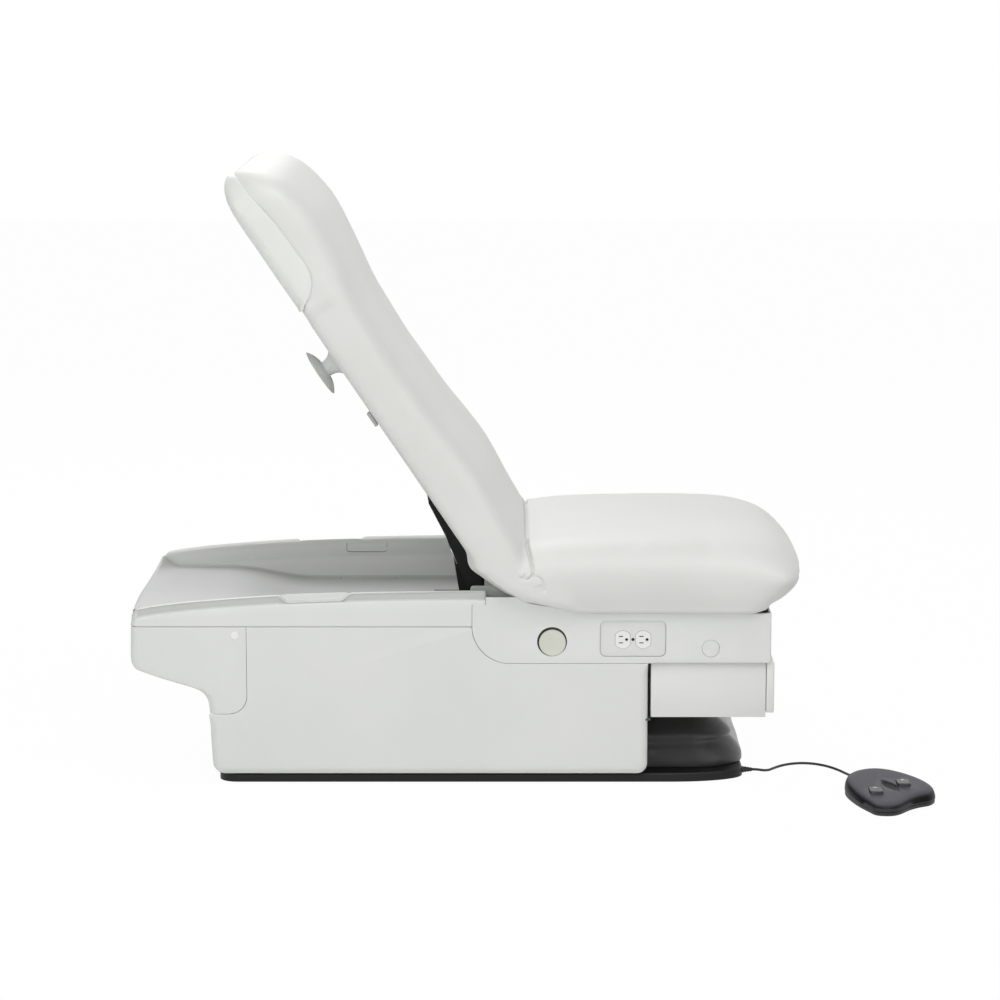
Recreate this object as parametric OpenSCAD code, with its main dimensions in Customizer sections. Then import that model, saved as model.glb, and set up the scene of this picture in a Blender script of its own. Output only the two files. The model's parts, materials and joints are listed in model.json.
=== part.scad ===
// Power exam chair: a low body that rides up on a lift column, a seat, a back that tilts,
// a drawer, a pull-out leg rest and a foot control on a cord.
// Frame: +X to the foot end, +Y to the patient's left, +Z up, z = 0 on the floor.

/* [Body] */
// Width of the body across its side covers
body_w = 660; // [600:5:700]
// Distance from the origin to the head end of the body
head_x = 702; // [680:2:740]
// Distance from the origin to the front face of the skirt
skirt_x = 516; // [500:2:560]
// Distance from the origin to the front edge of the lower side covers
cover_x = 282; // [270:1:284]
// Height of the lower edge of the side covers above the floor
cover_z = 23; // [20:1:30]
// Height of the seam between the side covers and the top shell
seam_z = 311; // [306:1:316]
// Wall of the moulded covers
cover_t = 4; // [3:0.5:5]
// Height of the lower edge of the skirt and hip covers
belt_z = 240; // [236:1:244]
// Distance from the origin to the seam of the hip cover, towards the head end
hip_x = 53; // [50:1:58]
// Radius of the large corner of the hip cover
hip_r = 72; // [60:2:76]
// Height of the top edge of the hip cover beside the hinge
hip_top = 368; // [362:1:370]
// Height of the lower edge of the head-end cover
end_low_z = 142; // [136:1:150]
// Distance from the origin to the seam of the head-end cover
end_seam_x = 483; // [470:1:500]
// Distance from the origin to the step under the head-end cover
step_x = 555; // [545:1:565]

/* [Top shell] */
// Height of the rails at their highest, beside the hinge
rail_z = 379; // [374:1:380]
// Fall of the rails from the hinge to the head end
rail_fall = 31; // [24:1:36]
// Width of one rail with its sloping inner side
rail_w = 40; // [34:1:46]
// Height of the tray floor between the rails
tray_z = 296; // [293:1:300]
// Rise from the tray floor to the head-end deck
deck_rise = 22; // [16:1:26]
// Thickness of the tray floor
tray_t = 4; // [3:0.5:5]
// Distance from the origin to the foot end of the rails
rail_end_x = 28; // [26:1:32]
// Depth of the hand notch in each rail
notch_depth = 13; // [8:1:16]
// Distance from the origin to the head end of the hand notch
notch_x = 421; // [400:2:440]
// Length of the hand notch
notch_l = 138; // [120:2:150]

/* [Seat] */
// Height of the hinge axis of the back
hinge_z = 388; // [386:1:390]
// Distance from the origin to the hinge axis, towards the head end
hinge_x = 14; // [12:1:16]
// Reach of the seat cushion beyond the skirt
seat_over = 68; // [50:2:90]
// Thickness of the seat cushion
seat_t = 130; // [110:2:134]
// Height of the underside of the seat cushion
seat_z = 343; // [342:1:346]
// Width of the cushions
cushion_w = 711; // [690:1:740]
// Radius of the rounded sides of the seat cushion
seat_round = 46; // [36:1:56]
// Thickness of the board under the seat cushion
board_t = 6; // [4:1:8]

/* [Back] */
// Angle of the back above the flat position, as shown
back_angle = 56; // [50:1:60]
// Steepest angle of the back
back_max = 80; // [76:1:80]
// Length of the back from the hinge axis
back_l = 919; // [880:1:940]
// Height of the thickest part of the back cushion above the hinge axis
back_t = 119; // [110:1:126]
// Depth of the back cushion behind the hinge axis
back_rear = 7; // [6:0.5:8]
// Radius of the cushion's lower end about the hinge axis
back_end_r = 71; // [68:1:72]
// Radius of the corners at the top of the back, seen from the front
back_corner = 96; // [80:2:120]
// Length of the head shell
shell_l = 292; // [260:2:320]
// Wall of the head shell
shell_t = 4; // [3:0.5:5]
// Radius of the hinge pins
pin_r = 6; // [5:0.5:7]

/* [Lift] */
// Distance from the origin to the middle of the lift column
column_x = 190; // [180:1:196]
// Length of the outer column section along the chair
column_l = 176; // [160:2:178]
// Width of the outer column section
column_w = 156; // [140:2:160]
// Wall of the column sections
column_t = 6; // [5:0.5:8]
// Running gap between the column sections
column_gap = 2; // [1.5:0.5:3]
// Thickness of the base plate
base_t = 18; // [14:1:20]
// Width of the base plate
base_w = 586; // [560:2:600]
// Distance from the origin to the head end of the base plate
base_head = 541; // [530:1:548]
// Distance from the origin to the foot end of the base plate
base_foot = 470; // [462:1:474]
// Width of the lift boot at the floor
boot_w = 500; // [470:5:520]
// Distance from the origin to the foot end of the boot
boot_foot = 474; // [468:1:480]
// Distance from the origin to the head end of the boot
boot_head = 130; // [110:2:150]
// Wall of the boot
boot_t = 3; // [2:0.5:4]
// Height of the underside of the bottom pan
pan_z = 128; // [126:1:130]

/* [Drawer] */
// Distance from the origin to the rear of the drawer housing
drawer_x = 288; // [287:1:292]
// Depth of the drawer housing's front edge behind the skirt
drawer_in = 9; // [6:1:16]
// Height of the lower edge of the drawer housing
drawer_z = 134; // [133:1:138]
// Thickness of the drawer front
front_t = 16; // [12:1:20]

/* [Foot control] */
// Distance from the origin to the middle of the foot control, towards the foot end
pedal_x = 732; // [728:1:736]
// Distance from the middle plane to the middle of the foot control
pedal_y = 435; // [431:1:439]
// Size of the foot control along the chair
pedal_w = 166; // [162:1:170]
// Size of the foot control across the chair
pedal_l = 250; // [244:1:256]
// Height of the foot control at the side where its cord goes in
pedal_h = 40; // [36:1:44]
// Fall of the foot control's top to the side where the foot comes on
pedal_fall = 18; // [14:1:20]
// Width of one foot button
button_w = 24; // [20:1:26]
// Length of one foot button
button_l = 46; // [40:1:50]
// Travel of one foot button
button_travel = 3; // [2:0.5:3]
// Diameter of the cord
cord_d = 5; // [4:0.5:6]

/* [Hidden] */

// Clearances and overruns
gap = 0.3;
seam = 0.6;
over = 1;
run_gap = 0.05;
fine = 64;

// Half sizes used all over
half_w = body_w / 2;
side_in = half_w - cover_t;
cushion_half = cushion_w / 2;
tray_under = tray_z - tray_t;
deck_z = tray_z + deck_rise;
inner_half = half_w - rail_w;
seat_l = skirt_x + hinge_x + seat_over;
drawer_front_x = skirt_x - drawer_in;
shell_from = back_l - shell_l;

// Turns a flat outline drawn in x and z into a panel that runs along y
module along_y(from, to) {
  translate([0, to, 0]) rotate([90, 0, 0]) linear_extrude(to - from) children();
}
// A box given by its two corners
module block(low, high) {
  translate(low) cube(high - low);
}
// The same block on both sides of the middle plane
module block_pair(low, high) {
  for (side = [-1, 1])
    block([low[0], side > 0 ? low[1] : -high[1], low[2]],
          [high[0], side > 0 ? high[1] : -low[1], high[2]]);
}
// A flat rectangle with round corners
module rounded(low, high, r) {
  translate(low + [r, 0]) square([high[0] - low[0] - 2 * r, high[1] - low[1]]);
  translate(low + [0, r]) square([high[0] - low[0], high[1] - low[1] - 2 * r]);
  for (x = [low[0] + r, high[0] - r], y = [low[1] + r, high[1] - r])
    translate([x, y]) circle(r, $fn = fine);
}
// A round rod along y
module rod_y(x, z, r, from, to) {
  translate([x, to, z]) rotate([90, 0, 0]) cylinder(h = to - from, r = r, $fn = fine);
}
// Points of an arc from one angle to another
function arc(centre, r, from, to, steps) = [for (i = [0 : steps]) let (t = from + (to - from) * i / steps)
  centre + r * [cos(t), sin(t)]];
// Faces that join rings of points into one closed solid
function ring_faces(rings, points) = concat(
  [for (i = [0 : rings - 2], j = [0 : points - 1])
    [i * points + j, i * points + (j + 1) % points, (i + 1) * points + (j + 1) % points]],
  [for (i = [0 : rings - 2], j = [0 : points - 1])
    [i * points + j, (i + 1) * points + (j + 1) % points, (i + 1) * points + j]],
  [[for (j = [points - 1 : -1 : 0]) j]],
  [[for (j = [0 : points - 1]) (rings - 1) * points + j]]);
// One closed solid through a list of rings
module loft(rings) {
  polyhedron([for (ring = rings) each ring], ring_faces(len(rings), len(rings[0])), convexity = 8);
}
// A closed wall: rings joined in a loop, the last to the first
module loop(rings) {
  n = len(rings);
  m = len(rings[0]);
  faces = [for (i = [0 : n - 1], j = [0 : m - 1], half = [0, 1]) let (
      a = i * m + j, b = i * m + (j + 1) % m,
      c = ((i + 1) % n) * m + (j + 1) % m, d = ((i + 1) % n) * m + j)
    half == 0 ? [a, b, c] : [a, c, d]];
  polyhedron([for (ring = rings) each ring], faces, convexity = 8);
}
// A wall between an outer and an inner grid of points, closed along its border
module wall_between(outer, inner) {
  n = len(outer);
  m = len(outer[0]);
  k = n * m;
  border = concat([for (j = [0 : m - 2]) j], [for (i = [0 : n - 2]) i * m + m - 1],
                  [for (j = [m - 1 : -1 : 1]) (n - 1) * m + j], [for (i = [n - 1 : -1 : 1]) i * m]);
  polyhedron(concat([for (row = outer) each row], [for (row = inner) each row]), concat(
    [for (i = [0 : n - 2], j = [0 : m - 2], half = [0, 1]) let (a = i * m + j, c = a + m + 1)
      half == 0 ? [a, a + 1, c] : [a, c, a + m]],
    [for (i = [0 : n - 2], j = [0 : m - 2], half = [0, 1]) let (a = k + i * m + j, c = a + m + 1)
      half == 0 ? [a, c, a + 1] : [a, a + m, c]],
    [for (e = [0 : len(border) - 1], half = [0, 1]) let (p = border[e], q = border[(e + 1) % len(border)])
      half == 0 ? [p, q + k, q] : [p, p + k, q + k]]), convexity = 8);
}

// Base plate on the floor
base_corner = 34;
// The foot end has longer corners, so that the cord's relief still stands on the plate's edge
toe_l = 140;
toe_w = 60;
function toe(from) = [for (p = arc([0, 0], 1, from, from + 90, 8))
  [base_foot - toe_l + toe_l * p[0], sign(from + 1) * (base_w / 2 - toe_w) + toe_w * p[1]]];
module base_plate() color([0.05, 0.05, 0.06])
  linear_extrude(base_t) polygon(concat(toe(-90), toe(0),
    arc([base_corner - base_head, base_w / 2 - base_corner], base_corner, 90, 180, 8),
    arc([base_corner - base_head, base_corner - base_w / 2], base_corner, 180, 270, 8)));

// Lift column: three nested sections
flange_t = 6;
flange_lip = 30;
column_start = base_t + flange_t;
column_end = seat_z - board_t - flange_t;
mid_l = column_l - 2 * (column_t + column_gap);
mid_w = column_w - 2 * (column_t + column_gap);
low_l = mid_l - 2 * (column_t + column_gap);
low_w = mid_w - 2 * (column_t + column_gap);
section_step = 4;
module column_section(l, w, from, to) {
  difference() {
    block([column_x - l / 2, -w / 2, from], [column_x + l / 2, w / 2, to]);
    block([column_x - l / 2 + column_t, -w / 2 + column_t, from - over],
          [column_x + l / 2 - column_t, w / 2 - column_t, to + over]);
  }
}
module column_flange() color([0.1, 0.1, 0.11])
  block([column_x - column_l / 2 - flange_lip, -column_w / 2 - flange_lip, base_t],
        [column_x + column_l / 2 + flange_lip, column_w / 2 + flange_lip, column_start]);
module column_base() color([0.62, 0.63, 0.65])
  column_section(low_l, low_w, column_start, column_end - 2 * section_step);
// The middle section runs on two collars of glide pads, one outside its top, one inside its foot
pad_h = 30;
pad_t = column_gap - gap;
module collar(l, w, grow, z) {
  difference() {
    block([column_x - l / 2 - grow, -w / 2 - grow, z], [column_x + l / 2 + grow, w / 2 + grow, z + pad_h]);
    block([column_x - l / 2, -w / 2, z - over], [column_x + l / 2, w / 2, z + pad_h + over]);
  }
}
module column_middle() color([0.66, 0.67, 0.69]) {
  column_section(mid_l, mid_w, column_start + section_step, column_end - section_step);
  collar(mid_l, mid_w, pad_t, column_end - section_step - pad_h);
  collar(mid_l - 2 * column_t - 2 * pad_t, mid_w - 2 * column_t - 2 * pad_t, pad_t,
         column_start + section_step);
}
module column_top() color([0.7, 0.71, 0.73]) {
  column_section(column_l, column_w, column_start + 2 * section_step, column_end);
  block([column_x - column_l / 2, -bearer_y, column_end],
        [column_x + column_l / 2, bearer_y, column_end + flange_t]);
}
// Gear motor that drives the lift, bolted to the head side of the outer section
motor_r = 34;
motor_z = 190;
motor_l = 120;
module lift_motor() color([0.25, 0.26, 0.28]) {
  translate([column_x - column_l / 2 - motor_r, 0, motor_z]) cylinder(h = motor_l, r = motor_r, $fn = fine);
  block([column_x - column_l / 2 - 2 * motor_r, -motor_r, motor_z - cover_t * 3],
        [column_x - column_l / 2, motor_r, motor_z]);
}

// Boot round the column: a thin bag whose front bulges and folds on the base
boot_levels_share = [0, 0.06, 0.2, 0.34, 0.44, 0.56, 0.68, 0.8, 0.92, 1];
boot_in_share = [[0, 0], [0.06, 0], [0.2, 0.02], [0.34, 0.11], [0.44, 0.25], [0.56, 0.26],
                 [0.68, 0.45], [0.8, 0.62], [0.92, 0.86], [1, 1]];
boot_draw = 70;
boot_corner = 60;
boot_steps = 5;
function rounded_ring(low, high, r, z) = [for (p = concat(
    arc([high[0] - r, high[1] - r], r, 0, 90, boot_steps),
    arc([low[0] + r, high[1] - r], r, 90, 180, boot_steps),
    arc([low[0] + r, low[1] + r], r, 180, 270, boot_steps),
    arc([high[0] - r, low[1] + r], r, 270, 360, boot_steps)))
  [p[0], p[1], z]];
function boot_ring_at(s, wall) = let (
    draw = boot_draw * lookup(s, boot_in_share),
    z = base_t + gap + s * (pan_z - gap - base_t - gap),
    half = boot_w / 2 - draw / 2 - wall)
  rounded_ring([-boot_head + draw / 4 + wall, -half], [boot_foot - draw - wall, half], boot_corner, z);
module boot() color([0.07, 0.06, 0.06])
  loop(concat(
    [for (s = boot_levels_share) boot_ring_at(s, 0)],
    [for (i = [len(boot_levels_share) - 1 : -1 : 0]) boot_ring_at(boot_levels_share[i], boot_t)]));
// Ring that clamps the boot to the bottom pan
ring_w = 16;
ring_t = 3;
module boot_ring() color([0.1, 0.1, 0.11]) {
  half = boot_w / 2 - boot_draw / 2 - boot_t - over;
  difference() {
    translate([0, 0, pan_z - ring_t]) linear_extrude(ring_t)
      rounded([-boot_head + boot_draw / 4 + boot_t + over, -half],
              [boot_foot - boot_draw - boot_t - over, half], boot_corner);
    translate([0, 0, pan_z - ring_t - over]) linear_extrude(ring_t + 2 * over)
      rounded([-boot_head + boot_draw / 4 + boot_t + ring_w, -half + ring_w],
              [boot_foot - boot_draw - boot_t - ring_w, half - ring_w], boot_corner - ring_w);
  }
}

// Frame of the upper body: two long beams with cross members
beam_w = 40;
beam_h = 40;
beam_y = 276;
beam_top = tray_under - gap;
beam_head = step_x - 2 * cover_t;
beam_foot = skirt_x - 2 * cover_t;
cross_w = 36;
mount_x = 452;
module upper_frame() color([0.3, 0.31, 0.33]) {
  block_pair([-beam_head, beam_y - beam_w, beam_top - beam_h], [beam_foot, beam_y, beam_top]);
  for (x = [-beam_head, -mount_x - cross_w / 2, drawer_x + cover_t, beam_foot - cross_w])
    block([x, -beam_y + beam_w, beam_top - beam_h], [x + cross_w, beam_y - beam_w, beam_top]);
}
// Bearers that carry the seat board and the column head on the frame
bearer_y = 220;
bearer_t = 16;
bearer_x = 60;
module seat_bearers() color([0.3, 0.31, 0.33])
  block_pair([bearer_x, bearer_y, beam_top], [beam_foot, bearer_y + bearer_t, seat_z - board_t]);
// Pan that closes the underside of the body
pan_t = 3;
pan_hole = 4;
module bottom_pan() color([0.16, 0.16, 0.17])
  difference() {
    block([-step_x + 2 * cover_t, -side_in + gap, pan_z], [drawer_x - gap, side_in - gap, pan_z + pan_t]);
    block([column_x - column_l / 2 - pan_hole, -column_w / 2 - pan_hole, pan_z - over],
          [drawer_x - gap - cover_t, column_w / 2 + pan_hole, pan_z + pan_t + over]);
  }

// Lower side covers
foot_corner = 24;
foot_lean = 5;
edge_corner = 10;
end_corner = 34;
cover_outline = concat(
  [[-end_seam_x + seam, seam_z - seam]],
  [[-hip_x - seam, seam_z - seam]],
  arc([-hip_x - seam + hip_r, belt_z + hip_r - seam], hip_r, 181, 270, 10),
  [[cover_x, belt_z - seam]],
  arc([cover_x - edge_corner, cover_z + edge_corner], edge_corner, 0, -90, 5),
  arc([-step_x + foot_lean + foot_corner, cover_z + foot_corner], foot_corner, -90, -175, 6),
  [[-step_x, end_low_z - seam]],
  arc([-end_seam_x + seam - end_corner, end_low_z + end_corner - seam], end_corner, -90, 0, 6));
module side_cover(side) color([0.85, 0.86, 0.85])
  along_y(side > 0 ? side_in : -half_w, side > 0 ? half_w : -side_in) polygon(cover_outline);
module side_cover_near() side_cover(-1);
module side_cover_far() side_cover(1);

// Head-end cover: two wings, the end wall and the sloping underside
end_top = seam_z - seam;
end_knee_z = 189;
end_knee_x = 581;
end_heel_z = 228;
end_heel_x = 691;
end_heel_r = 26;
end_outline = [
  [-end_seam_x, end_top], [-head_x, end_top], [-head_x - cover_t / 2, seam_z - 2 * end_heel_r],
  [-end_heel_x, end_heel_z], [-end_knee_x, end_knee_z], [-step_x, end_low_z],
  [-end_seam_x - end_corner, end_low_z]];
module end_wing(side) {
  along_y(side > 0 ? side_in : -half_w, side > 0 ? half_w : -side_in)
    polygon(concat(end_outline,
      arc([-end_seam_x - end_corner, end_low_z + end_corner], end_corner, -90, 0, 6)));
}
module end_cover() color([0.85, 0.86, 0.85]) {
  for (side = [-1, 1]) end_wing(side);
  along_y(-side_in, side_in) polygon([
    [-head_x, end_top], [-head_x - cover_t / 2, seam_z - 2 * end_heel_r], [-end_heel_x, end_heel_z],
    [-end_knee_x, end_knee_z], [-step_x, end_low_z], [-step_x + cover_t, end_low_z + cover_t / 2],
    [-end_knee_x + cover_t, end_knee_z + cover_t], [-end_heel_x + cover_t, end_heel_z + cover_t],
    [-head_x + cover_t, seam_z - 2 * end_heel_r], [-head_x + cover_t, end_top]]);
}

// Hip covers beside the seat, with their recesses
plug_x = 99;
plug_z = 282;
plug_r = 28.5;
outlet_low = [190, 253];
outlet_high = [316, 323];
outlet_r = 12;
cap_x = 401;
cap_z = 269;
cap_r = 17;
hip_flat_x = 26;
hip_drop_x = 50;
hip_drop = 20;
tip_drop = 26;
tip_z = rail_z - tip_drop;
hip_outline = concat(
  [[-rail_end_x + seam, hip_top], [hip_flat_x, hip_top], [hip_drop_x, hip_top - hip_drop],
   [hip_drop_x + hip_drop, seat_z - board_t], [skirt_x, seat_z - board_t], [skirt_x, belt_z]],
  arc([-hip_x + hip_r, belt_z + hip_r], hip_r, 270, 181, 10),
  [[-hip_x, seam_z], [-hip_x, tip_z], [-rail_end_x + seam, tip_z]]);
module hip_cover(side) color([0.85, 0.86, 0.85])
  difference() {
    along_y(side > 0 ? side_in : -half_w, side > 0 ? half_w : -side_in) polygon(hip_outline);
    rod_y(plug_x, plug_z, plug_r, side * half_w - 2 * cover_t, side * half_w + 2 * cover_t);
    rod_y(cap_x, cap_z, cap_r, side * half_w - 2 * cover_t, side * half_w + 2 * cover_t);
    if (side < 0) along_y(-half_w - over, -side_in + over) rounded(outlet_low, outlet_high, outlet_r);
  }
module hip_cover_near() hip_cover(-1);
module hip_cover_far() hip_cover(1);

// Rails along the top of the shell
rail_lip = 12;
rail_run = head_x - rail_end_x;
shoulder = 16;
notch_ramp = 18;
// Fall of the rail top along it: place as a share of its length, fall as a share of rail_fall
rail_drop_share = [[0, 1.7], [0.018, 1.18], [0.1, 0.85], [0.41, 0.29], [0.626, 0.13], [1, 0]];
rail_nose = -head_x + cover_t + 2 * seam;
rail_step = 2;
rail_places = [-head_x, rail_nose, -head_x + rail_lip, -head_x + 6 * rail_lip, -notch_x,
  -notch_x + notch_ramp, -notch_x + notch_l - notch_ramp, -notch_x + notch_l,
  -hip_x - seam - rail_step, -hip_x - seam, -rail_end_x];
function notch_at(x) = (x > -notch_x && x < -notch_x + notch_l) ? notch_depth : 0;
// Depth of the two bends of the inner slope below the rail's top, as shares of its width
rail_bend_share = 0.7;
rail_foot_share = 0.9;
function rail_ring(side, x) = let (
    top = rail_z - rail_fall * lookup((x + head_x) / rail_run, rail_drop_share),
    out = half_w, in = inner_half, w = cover_t, low = (x < -hip_x - seam ? seam_z : tip_z) + seam,
    leg = x > rail_nose ? tray_under : seam_z + over, hip = max(top - shoulder, seam_z + w + over),
    foot = max(top - rail_w * rail_foot_share, leg + w + over),
    bend = max(top - rail_w * rail_bend_share, foot + 2 * over),
    lip = max(top - notch_at(x), hip + w / 2 + over))
  [for (p = [[out, low], [out, hip], [out - rail_lip / 2, lip - w / 2], [out - rail_lip, lip],
             [out - 2 * rail_lip, top - w], [in + rail_lip / 2, bend], [in, foot],
             [in, leg], [in + w, leg], [in + w, foot - w],
             [in + rail_lip / 2 + w, bend - w], [out - 2 * rail_lip, top - 2 * w],
             [out - rail_lip, hip - w / 2], [out - w, hip - w / 2], [out - w, low]])
    [x, side * p[0], p[1]]];
module rail(side) color([0.72, 0.73, 0.73]) {
  rings = [for (x = rail_places) rail_ring(side, x)];
  loft(side > 0 ? rings : [for (i = [len(rings) - 1 : -1 : 0]) rings[i]]);
}
module rail_near() rail(-1);
module rail_far() rail(1);

// Tray floor and head-end deck between the rails
ramp_from = 385;
ramp_to = 545;
deck_to = 690;
tray_foot = 58;
tray_path = [[-tray_foot, tray_z], [-ramp_from, tray_z],
             [-(ramp_from * 3 + ramp_to) / 4, tray_z + deck_rise / 6],
             [-(ramp_from + ramp_to * 3) / 4, deck_z - deck_rise / 6], [-ramp_to, deck_z],
             [-deck_to, deck_z], [-head_x, seam_z + seam]];
// Slot in the tray that the crank of the back swings through
crank_slot_to = 134;
crank_slot_w = 34;
module tray() color([0.74, 0.75, 0.75])
  difference() {
    along_y(-inner_half + gap / 2, inner_half - gap / 2)
      polygon(concat(tray_path, [for (i = [len(tray_path) - 1 : -1 : 0])
        tray_path[i] - [i == len(tray_path) - 1 ? -tray_t : 0, i == len(tray_path) - 1 ? 0 : tray_t]]));
    block([-crank_slot_to, crank_y - crank_slot_w / 2, tray_under - over],
          [-tray_foot + over, crank_y + crank_slot_w / 2, tray_z + over]);
  }

// Skirt that closes the front of the body round the leg rest
rest_w = 380;
rest_low = 295;
rest_high = 331;
skirt_t = 4;
skirt_low = 247;
module front_skirt() color([0.83, 0.84, 0.83])
  difference() {
    block([skirt_x - skirt_t, -side_in + gap, skirt_low + seam],
          [skirt_x, side_in - gap, seat_z - board_t - gap]);
    block([skirt_x - skirt_t - over, -rest_w / 2 - over, rest_low - over],
          [skirt_x + over, rest_w / 2 + over, rest_high + over]);
  }

// Electrical outlet set into the near hip cover
plate_in = 3;
plate_t = 3;
outlet_in = 40;
outlet_mid = [253, 286];
outlet_pitch = 38.9;
face_w = 28.6;
face_h = 34;
face_out = 1.5;
module outlet_plate() color([0.86, 0.86, 0.85])
  difference() {
    along_y(-half_w + plate_in, -half_w + plate_in + plate_t)
      rounded(outlet_low + [gap, gap], outlet_high - [gap, gap], outlet_r - gap);
    for (side = [-1, 1])
      along_y(-half_w, -half_w + 4 * plate_t) outlet_face(side, gap);
  }
// Flat outline of one outlet face: a circle cut by two flats
module outlet_face(side, grow) {
  translate(outlet_mid + [side * outlet_pitch / 2, 0]) intersection() {
    circle(face_h / 2 + grow, $fn = fine);
    square([face_w + 2 * grow, face_h + 2 * grow], center = true);
  }
}
module outlet_box() color([0.6, 0.61, 0.62])
  difference() {
    block([outlet_low[0] + outlet_r, -half_w + plate_in + plate_t + gap, outlet_low[1] + plate_t],
          [outlet_high[0] - outlet_r, -half_w + plate_in + plate_t + outlet_in, outlet_high[1] - plate_t]);
    block([outlet_low[0] + outlet_r + plate_t, -half_w, outlet_low[1] + 2 * plate_t],
          [outlet_high[0] - outlet_r - plate_t, -half_w + plate_t + outlet_in,
           outlet_high[1] - 2 * plate_t]);
  }
slot_w = 2;
slot_h = 8;
slot_in = 6;
ground_r = 2.4;
screw_r = 3.2;
module outlet_receptacle() color([0.92, 0.92, 0.9])
  difference() {
    union() {
      for (side = [-1, 1])
        along_y(-half_w + plate_in - face_out, -half_w + plate_in + 2 * plate_t) outlet_face(side, 0);
      block([outlet_mid[0] - outlet_pitch, -half_w + plate_in + plate_t + gap, outlet_mid[1] - face_h / 2],
            [outlet_mid[0] + outlet_pitch, -half_w + plate_t + outlet_in, outlet_mid[1] + face_h / 2]);
    }
    for (side = [-1, 1]) translate([outlet_mid[0] + side * outlet_pitch / 2, 0, outlet_mid[1]]) {
      for (up = [-1, 1])
        block([-slot_h, -half_w, up * slot_in - slot_w / 2],
              [0, -half_w + 3 * plate_t, up * slot_in + slot_w / 2]);
      rod_y(slot_in, 0, ground_r, -half_w, -half_w + 3 * plate_t);
    }
  }

// Round caps and fasteners of the covers
cap_in = 7;
cap_t = 5;
cap_rim = 5;
module lock_caps() color([0.83, 0.83, 0.78])
  for (side = [-1, 1]) difference() {
    rod_y(plug_x, plug_z, plug_r + cap_rim, side > 0 ? half_w - cap_in - cap_t : -side_in + gap,
          side > 0 ? side_in - gap : -half_w + cap_in + cap_t);
    rod_y(plug_x, plug_z, plug_r, side > 0 ? half_w - cap_in : -half_w,
          side > 0 ? half_w : -half_w + cap_in);
  }
module trim_caps() color([0.84, 0.85, 0.84])
  for (side = [-1, 1])
    rod_y(cap_x, cap_z, cap_r - gap, side > 0 ? side_in : -half_w, side > 0 ? half_w : -side_in);
fastener_r = 8;
fastener_out = 1.5;
fastener_x = 504;
fastener_z = 294;
module panel_fasteners() color([0.93, 0.93, 0.92])
  for (side = [-1, 1])
    rod_y(-fastener_x, fastener_z, fastener_r, side > 0 ? half_w : -half_w - fastener_out,
          side > 0 ? half_w + fastener_out : -half_w);

// Seat board and seat cushion
board_in = 40;
module seat_board() color([0.55, 0.45, 0.33])
  block([hip_drop_x + hip_drop, -half_w + board_in, seat_z - board_t],
        [skirt_x - board_in, half_w - board_in, seat_z - gap]);
seat_arc_r = back_end_r + over;
// Side outline of the seat over its top, front and underside, as shares of its length and thickness
seat_outline_share = [
  [0.16, 0.95], [0.3, 0.975], [0.5, 1], [0.66, 0.995], [0.78, 0.96], [0.85, 0.9], [0.91, 0.81],
  [0.955, 0.7], [0.985, 0.59], [1, 0.47], [0.993, 0.34], [0.968, 0.2], [0.93, 0.09], [0.88, 0.02],
  [0.83, 0], [0.7, 0], [0.5, 0], [0.35, 0], [0.27, 0.005], [0.2, 0.045], [0.14, 0.085]];
// Rear face of the seat round the hinge axis: angle, and radius as a share of seat_arc_r
seat_rear_share = [[-26, 1], [-10, 1], [5, 1.01], [18, 1.05], [30, 1.1], [41, 1.18], [50, 1.27]];
seat_crown = 5;
seat_spine_share = [0.24, 0.88, 0.44];
function seat_path() = concat(
  [for (p = seat_outline_share) [-hinge_x + p[0] * seat_l, seat_z + p[1] * seat_t, p[1] > 0.9 ? 1 : 0]],
  [for (p = seat_rear_share) let (r = p[1] * seat_arc_r)
    [-hinge_x + r * cos(p[0]), hinge_z + r * sin(p[0]), 0]]);
// Stations across the seat, as shares of its half width
seat_stations_share = [-1, -0.985, -0.955, -0.915, -0.87, -0.6, -0.3, 0,
  0.3, 0.6, 0.87, 0.915, 0.955, 0.985, 1];
side_close_share = 0.7;
function side_draw(y) = let (t = max(0, (abs(y) - cushion_half + seat_round) / seat_round))
  side_close_share * (1 - sqrt(max(0, 1 - t * t)));
function seat_ring(s) = let (
    y = s * cushion_half, k = side_draw(y),
    from_x = -hinge_x + seat_spine_share[0] * seat_l, to_x = -hinge_x + seat_spine_share[1] * seat_l,
    spine_z = seat_z + seat_spine_share[2] * seat_t)
  [for (p = seat_path()) let (spine_x = max(from_x, min(p[0], to_x)))
    [p[0] + k * (spine_x - p[0]), y, p[1] + k * (spine_z - p[1]) + p[2] * seat_crown * (1 - s * s)]];
module seat_cushion() color([0.87, 0.87, 0.85])
  loft([for (s = seat_stations_share) seat_ring(s)]);

// Hinge of the back: brackets on the frame and pins through both
ear_t = 8;
ear_y = 200;
ear_r = 16;
ear_foot = 60;
module hinge_brackets() color([0.3, 0.31, 0.33])
  for (side = [-1, 1]) difference() {
    union() {
      rod_y(-hinge_x, hinge_z, ear_r, side > 0 ? ear_y : -ear_y - ear_t, side > 0 ? ear_y + ear_t : -ear_y);
      along_y(side > 0 ? ear_y : -ear_y - ear_t, side > 0 ? ear_y + ear_t : -ear_y)
        polygon([[-hinge_x - ear_r, hinge_z], [-hinge_x - ear_r, beam_top - beam_h],
                 [ear_foot, beam_top - beam_h], [ear_foot, beam_top + beam_h / 2],
                 [-hinge_x + ear_r, hinge_z - ear_r]]);
      block([-hinge_x - ear_r, side > 0 ? ear_y + ear_t : -beam_y + beam_w, beam_top - beam_h],
            [ear_foot, side > 0 ? beam_y - beam_w : -ear_y - ear_t, beam_top - beam_h + ear_t]);
    }
    rod_y(-hinge_x, hinge_z, pin_r, -half_w, half_w);
  }
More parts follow.
